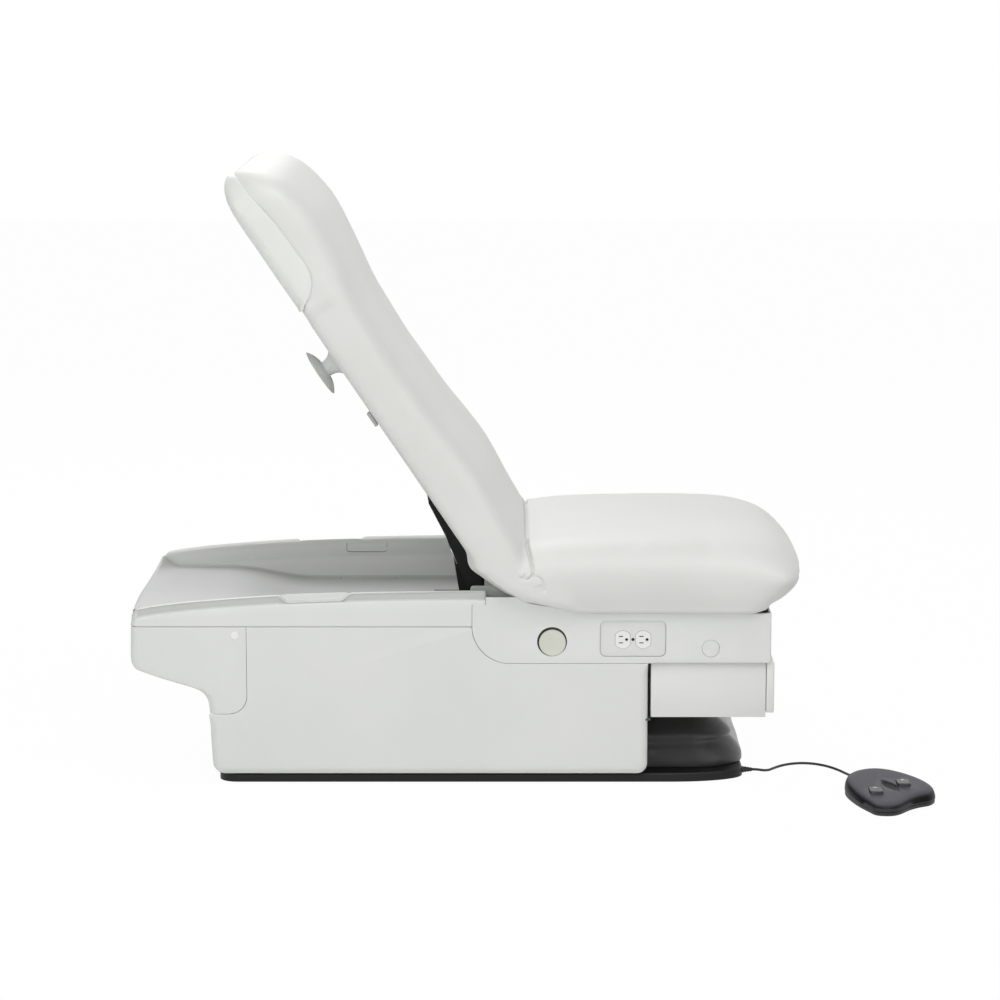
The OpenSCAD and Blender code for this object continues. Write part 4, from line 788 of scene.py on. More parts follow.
rail_stations = np.unique(np.concatenate([
    -702 + 14 * (1 - np.cos(quarter(7))), np.linspace(-684, -430, 16), np.linspace(-426, -398, 12),
    np.linspace(-390, -312, 6), np.linspace(-306, -278, 12), np.linspace(-270, -56, 12),
    [-53.7, -53.5, -28.6, -28]]).round(2))
for side, tag in SIDES:
    sections = [rail_section(x, side) for x in rail_stations]
    rail = loft("rail_" + tag + "_shell", sections, rail_plastic, sharp=55)
    grey = rail.data.attributes.new("grey_and_band_shade", "FLOAT", "POINT")
    where = points_of(rail.data) / MM
    tops = np.interp(where[:, 0], rail_top_line[:, 0], rail_top_line[:, 1])
    lips = tops - np.array([notch(x) for x in where[:, 0]])
    # Painted shade: the set-back band under the lip is greyed as if in the lip's shadow, and the inside of the
    # shell takes a little grey.
    band = np.clip((where[:, 2] - (tops - 16.4)) / 2.0, 0, 1)
    band *= np.clip(lips - 1.2 - where[:, 2], 0.12, 1)
    inside = np.clip((HALF_BODY - 8 - np.abs(where[:, 1])) / 4, 0, 1)
    grey.data.foreach_set("value", np.where(inside > 0, 0.15 * inside, 0.55 * band).astype(np.float32))
    dress(rail, "upper", "rail_grey", "rail_" + tag)
print("rail rings:", len(rail_stations))

# %% [markdown]
# ## Tray between the rails
# The floor of the top shell rises to a deck at the head end in a soft S and runs up the rails in a fillet. Caps
# are let into the inner walls, with a thin gap round them drawn as a line of painted shade, and screws hold the
# floor near the lip.

# %% Tray floor
tray_line = smooth_line([(-56, 296), (-150, 296), (-300, 296), (-380, 296), (-420, 298.5), (-465, 306),
                         (-510, 314), (-550, 317.6), (-590, 318), (-650, 318), (-688, 318), (-696, 317),
                         (-701.4, 312.6)], 6)
TRAY_HALF, FILLET, CORNER_LIFT = 289.8, 4.0, 24
tray_rows = []
for x, z in tray_line:
    rise = FILLET if x > -680 else max(0.2, FILLET * (x + 702) / 22)
    edge = [(-TRAY_HALF, z + rise)] + [(-TRAY_HALF + rise * (1 - math.cos(t)), z + rise * (1 - math.sin(t)))
                                       for t in quarter(6)[1:]]
    middle = [(y, z) for y in np.linspace(-TRAY_HALF + rise, TRAY_HALF - rise, 25)[1:-1]]
    end = unit((-664 - x) / 34) ** 2 * CORNER_LIFT
    bow = END_BOW * unit((-600 - x) / 80)
    tray_rows.append([(x - bow * (1 - (y / TRAY_HALF) ** 2), y, h + end * abs(y / TRAY_HALF) ** 3)
                      for y, h in edge + middle + [(-y, h) for y, h in edge[::-1]]])
tray_rows.append([(x, y, 310.7) for x, y, h in tray_rows[-1]])
tray_piece = loft("tray_floor", tray_rows, tray_plastic, closed=False, sharp=45)
inner_side = 1 if tray_piece.data.polygons[0].normal.z < 0 else -1
with_modifier(tray_piece, "SOLIDIFY", thickness=0.0035, offset=inner_side)
tidy_normals(tray_piece)
cut(tray_piece, [slab("slot", (-134, 250), (-50, 340), 6, 108, 142)], sharp=45)
dress(tray_piece, "upper", "rail_grey", "tray")
print("tray rows:", len(tray_rows))

# %% [markdown]
# ## Outlet, screws and fasteners
# A duplex outlet sits in the near hip cover behind a plate. Its two faces are circles cut by two flats,
# standing proud of the plate, with slots and a ground hole cut in. The small round parts repeat, so Geometry
# Nodes make them: one turned profile is put on every point of a cloud of places.

# %% The outlet plate and its two faces
PLATE_LOW, PLATE_HIGH = (190.6, 253.6), (315.4, 322.4)
OUTLET_MID, PITCH = (253.0, 286.0), 38.9


def face_cutter(x, z, grow, y_from, y_to):
    """A circle cut by two upright flats, as a solid along y."""
    r, half = 17.0 + grow, 14.3 + grow
    t = math.degrees(math.acos(half / r))
    outline = np.array(arc((x, z), r, t, 180 - t, 14) + arc((x, z), r, 180 + t, 360 - t, 14))
    rings = [[(p[0], y, p[1]) for p in inwards(outline, share)]
             for share, y in ((0.5, y_from), (0.0, y_from + 0.5), (0.0, y_to))]
    return loft("face", rings, sharp=35)


plate = slab("outlet_plate_front", PLATE_LOW, PLATE_HIGH, 11.4, -327.0, -324.2, cover_plastic, edge=0.8)
cut(plate, [face_cutter(OUTLET_MID[0] + k * PITCH / 2, OUTLET_MID[1], 0.45, -329.0, -322.0) for k in (-1, 1)])
dress(plate, "upper", "cover_white", "outlet_plate")
for k, tag in ((-1, "left"), (1, "right")):
    x0, z0 = OUTLET_MID[0] + k * PITCH / 2, OUTLET_MID[1]
    face = face_cutter(x0, z0, 0.0, -328.6, -316.0)
    face.name = "outlet_face_" + tag
    face.data.materials.append(outlet_plastic)
    holes = [slab("slot", (x0 - 7.6, z0 + up - 1.1), (x0 + 0.4, z0 + up + 1.1), 0.5, -331, -317.5)
             for up in (-6.2, 6.2)]
    holes.append(disc("ground", x0 + 7.2, z0, 2.9, -331, -317.5, sides=24))
    dress(cut(face, holes), "upper", "outlet_white", "outlet_receptacle")
# Painted shade: a dark slab behind the two faces shows through the slots and ground holes as the shade inside
# them, and a thin dark slab behind the plate shows as the shadow gap round its border.
dress(slab("outlet_slot_shade", (214, 270), (292, 302), 3, -318.5, -290, gap_shade_and_screws), "upper", "outlet_white")
dress(slab("outlet_gap_shadow", (197, 258), (309, 318), 6, -323.8, -322.6, gap_shade_and_screws), "upper", "cover_white")
print("outlet faces at", [OUTLET_MID[0] + k * PITCH / 2 for k in (-1, 1)])


# %% A node tree that puts a turned button on every point
def button_tree(name):
    """Geometry Nodes: a turned profile on each point, facing along the point's own direction."""
    tree, names, start, end = input_tree(name, Radius="NodeSocketFloat", Height="NodeSocketFloat",
                                         Edge="NodeSocketFloat", Finish="NodeSocketMaterial")
    body, top, slim, lift, raise_by, join, weld, facing, turn, scatter = new_nodes(
        tree, "GeometryNodeMeshCone", "GeometryNodeMeshCone", "ShaderNodeMath", "GeometryNodeTransform",
        "ShaderNodeCombineXYZ", "GeometryNodeJoinGeometry", "GeometryNodeMergeByDistance",
        "GeometryNodeInputNamedAttribute", "FunctionNodeAlignRotationToVector", "GeometryNodeInstanceOnPoints")
    slim.operation = "SUBTRACT"
    facing.data_type = "FLOAT_VECTOR"
    facing.inputs["Name"].default_value = "facing"
    turn.axis = "Z"
    for cone in (body, top):
        cone.inputs["Vertices"].default_value = 32
    radius, height, edge = start["Radius"], start["Height"], start["Edge"]
    wire(tree, (radius, body.inputs["Radius Bottom"]), (radius, body.inputs["Radius Top"]),
         (height, body.inputs["Depth"]), (radius, top.inputs["Radius Bottom"]), (radius, slim.inputs[0]),
         (edge, slim.inputs[1]), (slim.outputs[0], top.inputs["Radius Top"]), (edge, top.inputs["Depth"]),
         (height, raise_by.inputs["Z"]), (raise_by.outputs[0], lift.inputs["Translation"]),
         (top.outputs["Mesh"], lift.inputs["Geometry"]), (body.outputs["Mesh"], join.inputs[0]),
         (lift.outputs[0], join.inputs[0]), (join.outputs[0], weld.inputs["Geometry"]),
         (facing.outputs["Attribute"], turn.inputs["Vector"]), (start["Geometry"], scatter.inputs["Points"]),
         (weld.outputs[0], scatter.inputs["Instance"]), (turn.outputs[0], scatter.inputs["Rotation"]))
    painted(tree, scatter.outputs[0], start, end)
    return tree, names


button_nodes, button_names = button_tree("turned_buttons")


def buttons(name, places, facing, radius, height, finish, edge):
    """Turned buttons at places, all or each facing a direction; edge is the width of the bevel in metres."""
    mesh = bpy.data.meshes.new(name)
    mesh.from_pydata([tuple(v * MM for v in p) for p in places], [], [])
    way = np.array([facing] * len(places) if np.ndim(facing) == 1 else facing, np.float32)
    mesh.attributes.new("facing", "FLOAT_VECTOR", "POINT").data.foreach_set("vector", way.ravel())
    obj = put(name, mesh)
    return smooth(run_nodes(obj, button_nodes, button_names, Radius=radius * MM, Height=height * MM, Edge=edge,
                            Finish=finish))


# %% Screws and fasteners by that tree
NEAR_FAR = [(0, -1, 0), (0, 1, 0)]
dress(buttons("outlet_screw", [(253, -326.6, 286)], (0, -1, 0), 3.2, 0.5, gap_shade_and_screws, 0.0003), "upper",
      "zinc_steel")
dress(buttons("cover_fasteners", [(-504, -329.6, 294), (-504, 329.6, 294)], NEAR_FAR, 7.8, 0.7, outlet_plastic,
              0.0009), "upper", "outlet_white", "panel_fasteners")
dress(buttons("fastener_dots", [(-504, -330.9, 294), (-504, 330.9, 294)], NEAR_FAR, 1.7, 0.25, gap_shade_and_screws,
              0.0001), "upper", "outlet_white")
screw_places = [(x, side * 272, 296.1) for x in (-330, -215) for side in (-1, 1)]
dress(buttons("tray_screws", screw_places, (0, 0, 1), 2.6, 0.25, gap_shade_and_screws, 0.0002), "upper", "rail_grey")
print("buttons made by one tree:", button_nodes.name)

# %% [markdown]
# ## Softened edges
# No moulded or folded part has knife edges, and light catches even a 1 mm radius. The boxy CAD nodes keep
# their shape: a copy is merged, its flat faces are joined, and the Bevel modifier rounds the edges.

# %% A softened copy of a node
slot_of = {part["node"]: part["material_slot"] for part in frame["record"]["subparts"]}


def softened(node, width, finish):
    """A copy of a CAD node with rounded edges and a finish, on the node's own body."""
    source = frame["nodes"][node]
    work = bmesh.new()
    work.from_mesh(source.data)
    bmesh.ops.remove_doubles(work, verts=work.verts, dist=2e-5)
    bmesh.ops.dissolve_limit(work, angle_limit=math.radians(0.6), verts=work.verts, edges=work.edges)
    bmesh.ops.recalc_face_normals(work, faces=work.faces)
    mesh = bpy.data.meshes.new(node + "_part")
    work.to_mesh(mesh)
    work.free()
    obj = put(node + "_part", mesh)
    with_modifier(obj, "BEVEL", width=width * MM, segments=2, limit_method="ANGLE",
                  angle_limit=math.radians(38), use_clamp_overlap=True)
    smooth(obj)
    obj.data.materials.clear()
    obj.data.materials.append(finish)
    dress(obj, body_of(source)[0], slot_of[node], node)


for node, width, finish in (
        ("upper_frame", 3.0, frame_paint), ("seat_bearers", 2.0, frame_paint),
        ("hinge_brackets", 1.2, tray_plastic), ("actuator_mount", 1.0, frame_paint),
        ("column_flange", 1.5, black_paint), ("column_base", 2.5, alloy), ("column_middle", 2.5, alloy),
        ("column_top", 2.0, alloy), ("bottom_pan", 0.8, pan_plastic), ("outlet_box", 0.6, steel),
        ("seat_board", 1.0, plywood), ("cover_brackets", 0.8, steel), ("slide_rails", 1.0, steel),
        ("drawer_runners", 1.0, steel), ("drawer_box", 0.8, cover_plastic), ("leg_rest_guides", 0.8, steel),
        ("leg_rest_tray", 0.8, steel), ("leg_rest_front", 2.2, cover_plastic),
        ("control_box", 2.5, pan_plastic), ("front_skirt", 1.0, cover_plastic),
        ("rear_clip", 1.6, clip_plastic), ("drawer_housing", 0.8, cover_plastic)):
    softened(node, width, finish)
print("softened nodes ride with their bodies")

# %% [markdown]
# ## Drawer front
# The front is one panel across the chair, with a round upper edge to pull at and barely rounded ends.

# %% Drawer front
front_outline = np.array([(508.3, 143), (519, 143)] + arc((519, 147), 4, -90, 0, 5)[1:]
                         + [(523, 170), (523, 220)] + arc((516, 238), 7, 0, 90, 6) + [(508.3, 245)], float)
front_rings = [[(x, y, z) for x, z in inwards(front_outline, pull)] for y, pull in [
    (-324.4, 1.4), (-323.9, 0.5), (-323, 0), (-250, 0), (-120, 0), (0, 0), (120, 0), (250, 0), (323, 0),
    (323.9, 0.5), (324.4, 1.4)]]
dress(loft("drawer_panel", front_rings, cover_plastic, sharp=40), "drawer", "cover_white", "drawer_front")
print("drawer panel rings", len(front_rings))

# %% [markdown]
# ## Boot round the column
# A boot of rubber-coated cloth closes the gap between the base plate and the body. It is drawn in towards its
# top, bulges at the foot end and has one soft fold halfway. It stretches when the chair rises, so its lower
# edge follows the base and its upper edge follows the body.

# %% Boot rings
BOOT_LOW, BOOT_HIGH = 18.6, 127.4
boot_profile = smooth_line([(0, 0), (0.05, 0.3), (0.12, 1.2), (0.2, 4.5), (0.3, 11), (0.38, 18), (0.44, 21.5),
                            (0.5, 20), (0.56, 22.5), (0.64, 30), (0.74, 41), (0.84, 53), (0.93, 64),
                            (1, 69.5)], 5)
boot_rings = []
for share, draw in boot_profile:
    z = BOOT_LOW + share * (BOOT_HIGH - BOOT_LOW)
    draw += 10 * share ** 2
    swell = math.sin(math.pi * share) ** 0.7
    corner, head_corner = 92 - 28 * share, 60
    x0, x1 = -130 + draw / 4, 474 - draw
    half = 250 - draw / 2
    foot_mid, head_mid = (x1 - corner, half - corner), (x0 + head_corner, half - head_corner)
    outline = even(arc(foot_mid, corner, 0, 90, 14) + arc(head_mid, head_corner, 90, 180)
                   + arc((head_mid[0], -head_mid[1]), head_corner, 180, 270)
                   + arc((foot_mid[0], -foot_mid[1]), corner, 270, 360, 14), 180, closed=True)
    ring = []
    for x, y in outline:
        forward = max(0.0, (x - 380) / 94)
        fold = 2.4 * swell * math.sin(x / 23.0 + 2.0 * math.sin(y / 61.0) + 2.6 * share)
        dip = -4.0 * swell * math.exp(-((abs(y) - 205) / 26) ** 2) * forward
        ring.append((x + (fold * 0.6 + dip) * forward,
                     y - math.copysign(abs(fold), y) * 0.5 * abs(y / half) ** 6, z))
    boot_rings.append(ring)
boot_skin = loft("column_boot", boot_rings, boot_cloth, caps=False, sharp=None)
with_modifier(boot_skin, "SOLIDIFY", thickness=0.0016, offset=-1)
with_modifier(boot_skin, "SUBSURF", levels=1, render_levels=1)
tidy_normals(boot_skin)
smooth(boot_skin, None)
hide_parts("boot")
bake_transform(boot_skin, "base", "upper", start=(0.17, 0, 0.024), end=(0.17, 0, 0.1265))
print("boot rings", len(boot_rings))

# %% [markdown]
# ## Base plate
# The base is one heavy plate, painted black, with a rounded upper edge.

# %% Base plate
BASE_HALF, TOE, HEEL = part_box("base_plate")[1][1] / MM, (140.0, 60.0), 34
toe = [(470 - TOE[0] + TOE[0] * math.cos(t), BASE_HALF - TOE[1] + TOE[1] * math.sin(t)) for t in quarter(17)]
heel_mid = (-541 + HEEL, BASE_HALF - HEEL)
plate_outline = even(toe + arc(heel_mid, HEEL, 90, 180) + arc((heel_mid[0], -heel_mid[1]), HEEL, 180, 270)
                     + [(x, -y) for x, y in toe[::-1]], 260, closed=True)
plate_rings = [[(x, y, z) for x, y in inwards(plate_outline, pull)] for z, pull in
               [(0, 1.0), (1, 0)] + [(18 - 5 + 5 * math.sin(t), 5 * (1 - math.cos(t))) for t in quarter(6)]]
dress(loft("base_plate_part", plate_rings, black_paint, sharp=40), "base", "base_black", "base_plate")
print("base plate outline", len(plate_outline))

# %% [markdown]
# ## Foot control
# The foot control is a rounded three-sided wedge that lies flat on the floor. Its top slopes down to the near
# edge and falls off steeply at the sides. Two rocker buttons stand in pockets with a small gap, and a
# leaf-shaped recess lies between them. The places of printed marks are left bare.

# %% Foot control body
pedal_share = [(-0.475, 0.19), (-0.465, 0.02), (-0.39, -0.21), (-0.29, -0.4), (-0.22, -0.5), (-0.08, -0.525),
               (0.04, -0.48), (0.19, -0.34), (0.31, -0.26), (0.45, -0.19), (0.52, -0.07), (0.49, 0.06),
               (0.38, 0.21), (0.23, 0.34), (0.05, 0.44), (-0.13, 0.47), (-0.31, 0.42), (-0.43, 0.32)]
pedal_low, pedal_high = [np.array([v / MM for v in corner[:2]]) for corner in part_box("pedal_cover")]
near_left, far_right = np.min(pedal_share, 0), np.max(pedal_share, 0)
PEDAL_SIZE = (pedal_high - pedal_low) / (far_right - near_left)
PEDAL_MID = pedal_low - near_left * PEDAL_SIZE
PEDAL_FALL = 18.0
pedal_line = even(smooth_line(pedal_share, 8, closed=True), 168, closed=True)
near_end, far_end = near_left[1], far_right[1]
slope = PEDAL_FALL / ((far_end - near_end) * PEDAL_SIZE[1])


def pedal_top(share):
    """The height of the top at a share of the depth."""
    return 40.0 - PEDAL_FALL * (far_end - share) / (far_end - near_end)


def pedal_place(share):
    """The place on the floor of a pair of shares."""
    return PEDAL_MID + np.array(share) * PEDAL_SIZE


def pedal_ring(k, rise=0, drop=0.0, flat=None):
    """The outline at k times its size, at a share of the top's height or flat at one height."""
    points = PEDAL_MID + k * pedal_line * PEDAL_SIZE
    return [(x, y, flat if flat is not None else rise * pedal_top(k * s[1]) - drop)
            for (x, y), s in zip(points, pedal_line)]


foot_rings = [pedal_ring(k, flat=z) for k, z in (
    (0.955, 0.2), (0.975, 0.3), (0.985, 1.2), (0.985, 6.4), (0.975, 6.8))]
dress(loft("pedal_foot", foot_rings, black_rubber, sharp=40), "base", "pedal_dark", "pedal_base")
body_rings = [pedal_ring(k, flat=z) for k, z in ((0.97, 7.2), (0.99, 7.6), (0.995, 10))]
body_rings += [pedal_ring(k, rise, 0.6) for k, rise in (
    (0.992, 0.42), (0.982, 0.56), (0.966, 0.7), (0.945, 0.81), (0.92, 0.885), (0.89, 0.935), (0.855, 0.965),
    (0.81, 0.985), (0.74, 0.995), (0.6, 1.0), (0.4, 1.0))]
pedal_body = loft("pedal_shell", body_rings, dark_plastic, sharp=None)
print("foot control from", pedal_low.round(1), "to", pedal_high.round(1), "slope", round(slope, 3))


# %% Pockets, leaf-shaped recess and rockers
def turned_plate(name, centre, half, corner, z_low, z_high, tilt=0.0, edge=0.0, finish=None):
    """An upright solid with round corners, standing on z, with a sloping top and rounded top edges."""
    outline = round_box((-half[0], -half[1]), half, corner, 0, 6)
    rings = [[(x, y, z_low) for x, y in outline]]
    for t in (quarter(5) if edge else [0]):
        rings.append([(x, y, z_high + tilt * y - edge * (1 - math.sin(t)))
                      for x, y in inwards(outline, edge * (1 - math.cos(t)))])
    moved = [[(centre[0] + x, centre[1] + y, z) for x, y, z in ring] for ring in rings]
    return loft(name, moved, finish, sharp=40)


rockers = {"left": (-0.175, -0.17), "right": (0.165, 0.02)}
ROCKER_HALF, ROCKER_CORNER, ROCKER_TILT = (11.9, 22.9), 6.9, -0.045
pockets = []
for share in rockers.values():
    level = pedal_top(share[1])
    pockets.append(turned_plate("pocket", pedal_place(share), (ROCKER_HALF[0] + 1, ROCKER_HALF[1] + 1),
                                ROCKER_CORNER + 1, level - 11, level + 20))

LEAF_LONG, LEAF_WIDE, LEAF_TURN, LEAF_SHARE = 80.0, 24.0, math.radians(20), (0.01, -0.04)
r = (LEAF_LONG ** 2 + LEAF_WIDE ** 2) / (4 * LEAF_WIDE)
t = math.degrees(math.asin(LEAF_LONG / 2 / r))
shift = r - LEAF_WIDE / 2
leaf = np.array(arc((-shift, 0), r, -t, t, 16)[:-1] + arc((shift, 0), r, 180 - t, 180 + t, 16)[:-1])
leaf_mid, leaf_level = pedal_place(LEAF_SHARE), pedal_top(LEAF_SHARE[1])
c, s = math.cos(LEAF_TURN), math.sin(LEAF_TURN)


def leaf_ring(grow, above):
    """The leaf's outline at a size, so many millimetres above the sloping top."""
    return [(leaf_mid[0] + c * x - s * y, leaf_mid[1] + s * x + c * y,
             leaf_level + above + slope * (s * x + c * y)) for x, y in leaf * grow]


pockets.append(loft("leaf", [leaf_ring(grow, above) for grow, above in (
    (0.45, -4.6), (0.75, -3.8), (0.92, -2.2), (1.0, -0.6), (1.04, 6))]))
pockets.append(disc("relief_hole", 684.0, 16.0, 5.6, -300, -345, sides=32))
cut(pedal_body, pockets, sharp=38)
with_modifier(pedal_body, "BEVEL", width=0.0006, segments=2, limit_method="ANGLE", angle_limit=math.radians(50))
smooth(pedal_body)
low = pedal_body.data.attributes.new("lowness", "FLOAT", "POINT")
where = points_of(pedal_body.data) / MM
top = pedal_top((where[:, 1] - PEDAL_MID[1]) / PEDAL_SIZE[1])
off = where[:, :2] - leaf_mid
along, beside = off @ np.array([-s, c]), off @ np.array([c, s])
in_leaf = (np.abs(along) < 43) & (np.abs(beside) < 13.5) & (where[:, 2] < top - 1.3)
darkness = np.where(in_leaf, 1.0, np.clip((0.86 * top - where[:, 2]) / 3.0, 0, 1))
low.data.foreach_set("value", darkness.astype(np.float32))
dress(pedal_body, "base", "pedal_dark", "pedal_cover")
for tag, share in rockers.items():
    mid, level = pedal_place(share), pedal_top(share[1])
    rocker = turned_plate("rocker_" + tag, mid, ROCKER_HALF, ROCKER_CORNER, level - 7.3, level + 3.0,
                          ROCKER_TILT, 1.6, rocker_plastic)
    dress(rocker, "button_" + tag, "pedal_dark", "pedal_button_" + tag)
    base, tip = (10, 17.5) if tag == "right" else (17.5, 10)
    mark = [(mid[0] + x, mid[1] + y, level + 3.06 + ROCKER_TILT * y)
            for x, y in ((-4.6, base), (4.6, base), (0, tip))]
    arrow = piece("arrow_" + tag, [(x, y, z + dz) for dz in (0, 0.12) for x, y, z in mark],
                  [(2, 1, 0), (3, 4, 5), (0, 1, 4, 3), (1, 2, 5, 4), (2, 0, 3, 5)], outlet_plastic)
    dress(arrow, "button_" + tag, "outlet_white")
lens_at = (721.0, -381.0, pedal_top((-381.0 - PEDAL_MID[1]) / PEDAL_SIZE[1]) - 0.9)
dress(buttons("power_lens", [lens_at], (0, 0, 1), 1.7, 0.5, red_lens, 0.0004), "base", "pedal_dark")
print("rockers:", sorted(rockers))

# %% [markdown]
# ## Pad of the leg rest
# The pad lies on the pulled-out tray. It is a crowned cushion with pulled-in corners, in the same vinyl.

# %% Leg rest pad
pad_low, pad_high = [np.array(v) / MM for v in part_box("leg_rest_pad")]
pad_mid, pad_half = (pad_low + pad_high) / 2, (pad_high - pad_low) / 2


def pad_point(u, v, top):
    """A point of the pad, u and v from -1 to 1; the sides pull in between the corners."""
    pull = 1 - 0.012 * (1 - abs(u * v))
    rim = max(abs(u), abs(v))
    drop = 11 * max(0.0, (rim - 0.86) / 0.14) ** 2.4
    crown = 1.6 * (1 - u * u) * (1 - v * v)
    z = pad_high[2] - 1.8 - drop + crown if top else pad_low[2] + 0.4 + 3 * max(0.0, (rim - 0.93) / 0.07) ** 2
    return (pad_mid[0] + u * pad_half[0] * pull, pad_mid[1] + v * pad_half[1] * pull, z)


grid = np.linspace(-1, 1, 41)
count = len(grid)
pad_points = [pad_point(u, v, top) for top in (True, False) for u in grid for v in grid]
pad_faces = []
for top in (0, 1):
    for i in range(count - 1):
        for j in range(count - 1):
            a = top * count * count + i * count + j
            pad_faces.append((a, a + count, a + count + 1, a + 1))
edge_run = [(i, 0) for i in range(count)] + [(count - 1, j) for j in range(1, count)] \
    + [(i, count - 1) for i in range(count - 2, -1, -1)] + [(0, j) for j in range(count - 2, 0, -1)]
for (i, j), (k, m) in zip(edge_run, edge_run[1:] + edge_run[:1]):
    a, b = i * count + j, k * count + m
    pad_faces.append((a, b, b + count * count, a + count * count))
rest_pad = piece("leg_rest_cushion", pad_points, pad_faces, vinyl, sharp=None)
with_modifier(rest_pad, "SUBSURF", levels=1, render_levels=1)
dress(rest_pad, "leg_rest", "upholstery", "leg_rest_pad")
print("pad points", len(pad_points))

# %% [markdown]
# ## Upholstery
# Seat and back are covered in one seamless skin over moulded foam. The seat's side bulges at half height, and
# at the hinge the skin folds into a deep crease. The foam shapes are lofted from measured outlines, fused by a
# voxel remesh into one closed skin and filled by a cloth simulation. Then the skin bends between the seat's
# body and the back's body.

# %% Side outlines of the foam
HINGE = np.array([-14.0, 388.0])
BACK_ANGLE = math.radians(56)
HALF_WIDTH = 355.5


def on_back(a, b):
    """World x and z, in mm, of a point a up the back and b towards its front."""
    return np.array([HINGE[0] - a * math.cos(BACK_ANGLE) + b * math.sin(BACK_ANGLE),
                     HINGE[1] + a * math.sin(BACK_ANGLE) + b * math.cos(BACK_ANGLE)])


SEAT_L, SEAT_T, SEAT_Z, SEAT_MID = 598.0, 130.0, 343.0, 406.0
seat_outline = [(HINGE[0] + SEAT_L * x, SEAT_Z + SEAT_T * z) for x, z in [
    (0.2, 0.93), (0.3, 0.955), (0.5, 0.975), (0.66, 0.972), (0.77, 0.945), (0.845, 0.89), (0.905, 0.81),
    (0.95, 0.7), (0.976, 0.59), (0.988, 0.47), (0.973, 0.34), (0.942, 0.2), (0.905, 0.09), (0.86, 0.02),
    (0.82, 0), (0.7, 0), (0.5, 0), (0.35, 0), (0.27, 0.005), (0.2, 0.045), (0.14, 0.085)]]
seat_rear = [(HINGE[0] + r * math.cos(math.radians(t)), HINGE[1] + r * math.sin(math.radians(t))) for t, r in [
    (-34, 58), (-10, 50), (10, 50), (28, 60), (40, 78), (47, 88), (46.5, 94)]]
seat_path = even(smooth_line(seat_outline + seat_rear, 6, closed=True), 120, closed=True)

BACK_L, BACK_T = 919.0, 119.0
front_line = smooth_line([
    (-0.06, 0.6), (0.0, 0.72), (0.03, 0.77), (0.06, 0.79), (0.11, 0.82), (0.195, 0.885), (0.27, 0.86),
    (0.34, 0.81), (0.43, 0.79), (0.5, 0.78), (0.59, 0.815), (0.64, 0.845), (0.735, 0.97), (0.82, 1.055),
    (0.87, 1.035), (0.927, 0.94), (0.957, 0.82), (0.978, 0.69), (0.99, 0.56), (1.001, 0.44)], 8)
rear_line = smooth_line([
    (-0.06, 0.3), (-0.02, 0.1), (0.02, 0.0), (0.05, -0.01), (0.5, -0.012), (0.9, 0.0), (0.95, 0.02),
    (0.98, 0.05), (0.99, 0.1), (1.001, 0.2)], 8)
print("seat outline points", len(seat_path))


# %% Loft the two foams and the bridge under the hinge
FORWARD_BULGE, SIDE_LIP, TOP_CORNER, SQUARENESS = 13, -14.0, 96.0, 0.47


def seat_ring(s):
    """A section of the seat: its side bulges out at half height and tucks in below, like the foot end."""
    y, ring = s * HALF_WIDTH, []
    u, below = max(0.0, (abs(y) - 264) / (HALF_WIDTH - 264)), max(0.0, (abs(y) - 329) / (HALF_WIDTH - 329))
    k_top, k_low = (1 - u ** 2.1) ** (1 / 2.1), math.sqrt(1 - min(1.0, below) ** 2)
    for x, z in seat_path:
        if z > SEAT_MID:
            crown = 3 * (1 - s * s) * min(1.0, (z - SEAT_MID) / 50)
            z = SEAT_MID + (z - SEAT_MID) * (0.04 + 0.96 * k_top) + crown
        else:
            lip = SIDE_LIP * unit((abs(y) - 326) / 8) * unit((x - 60) / 90) if z < SEAT_Z + 13 else 0.0
            z = SEAT_MID - (SEAT_MID - z - lip) * (0.06 + 0.94 * k_low)
        x += eased((x - 430) / 120) * (FORWARD_BULGE - 15 * (abs(y) / 300) ** 2.5
                                       - 22 * max(0.0, (abs(y) - 312) / 43) ** 2)
        ring.append((x, y, z))
    return ring


def squared(v):
    """A sine or cosine pushed outwards, which makes a circle's quarter squarer."""
    return math.copysign(abs(v) ** SQUARENESS, v)


def back_half(a):
    """Half the width of the back at a, with round corners at the head end."""
    d = min(TOP_CORNER, max(0.0, a - BACK_L + 95))
    return HALF_WIDTH - TOP_CORNER + math.sqrt(max(0.0, TOP_CORNER * TOP_CORNER - d * d))


RIM = np.array([(636, 2), (641, 8), (650, 26), (658, 36), (670, 46), (685, 52), (700, 55), (741, 54), (795, 52),
                (834, 47), (866, 41), (895, 38), (910, 35), (919, 33)], float)


def rim_at(a):
    """How far the head shell's rim reaches towards the front at a."""
    return float(np.interp(a, RIM[:, 0], RIM[:, 1]))


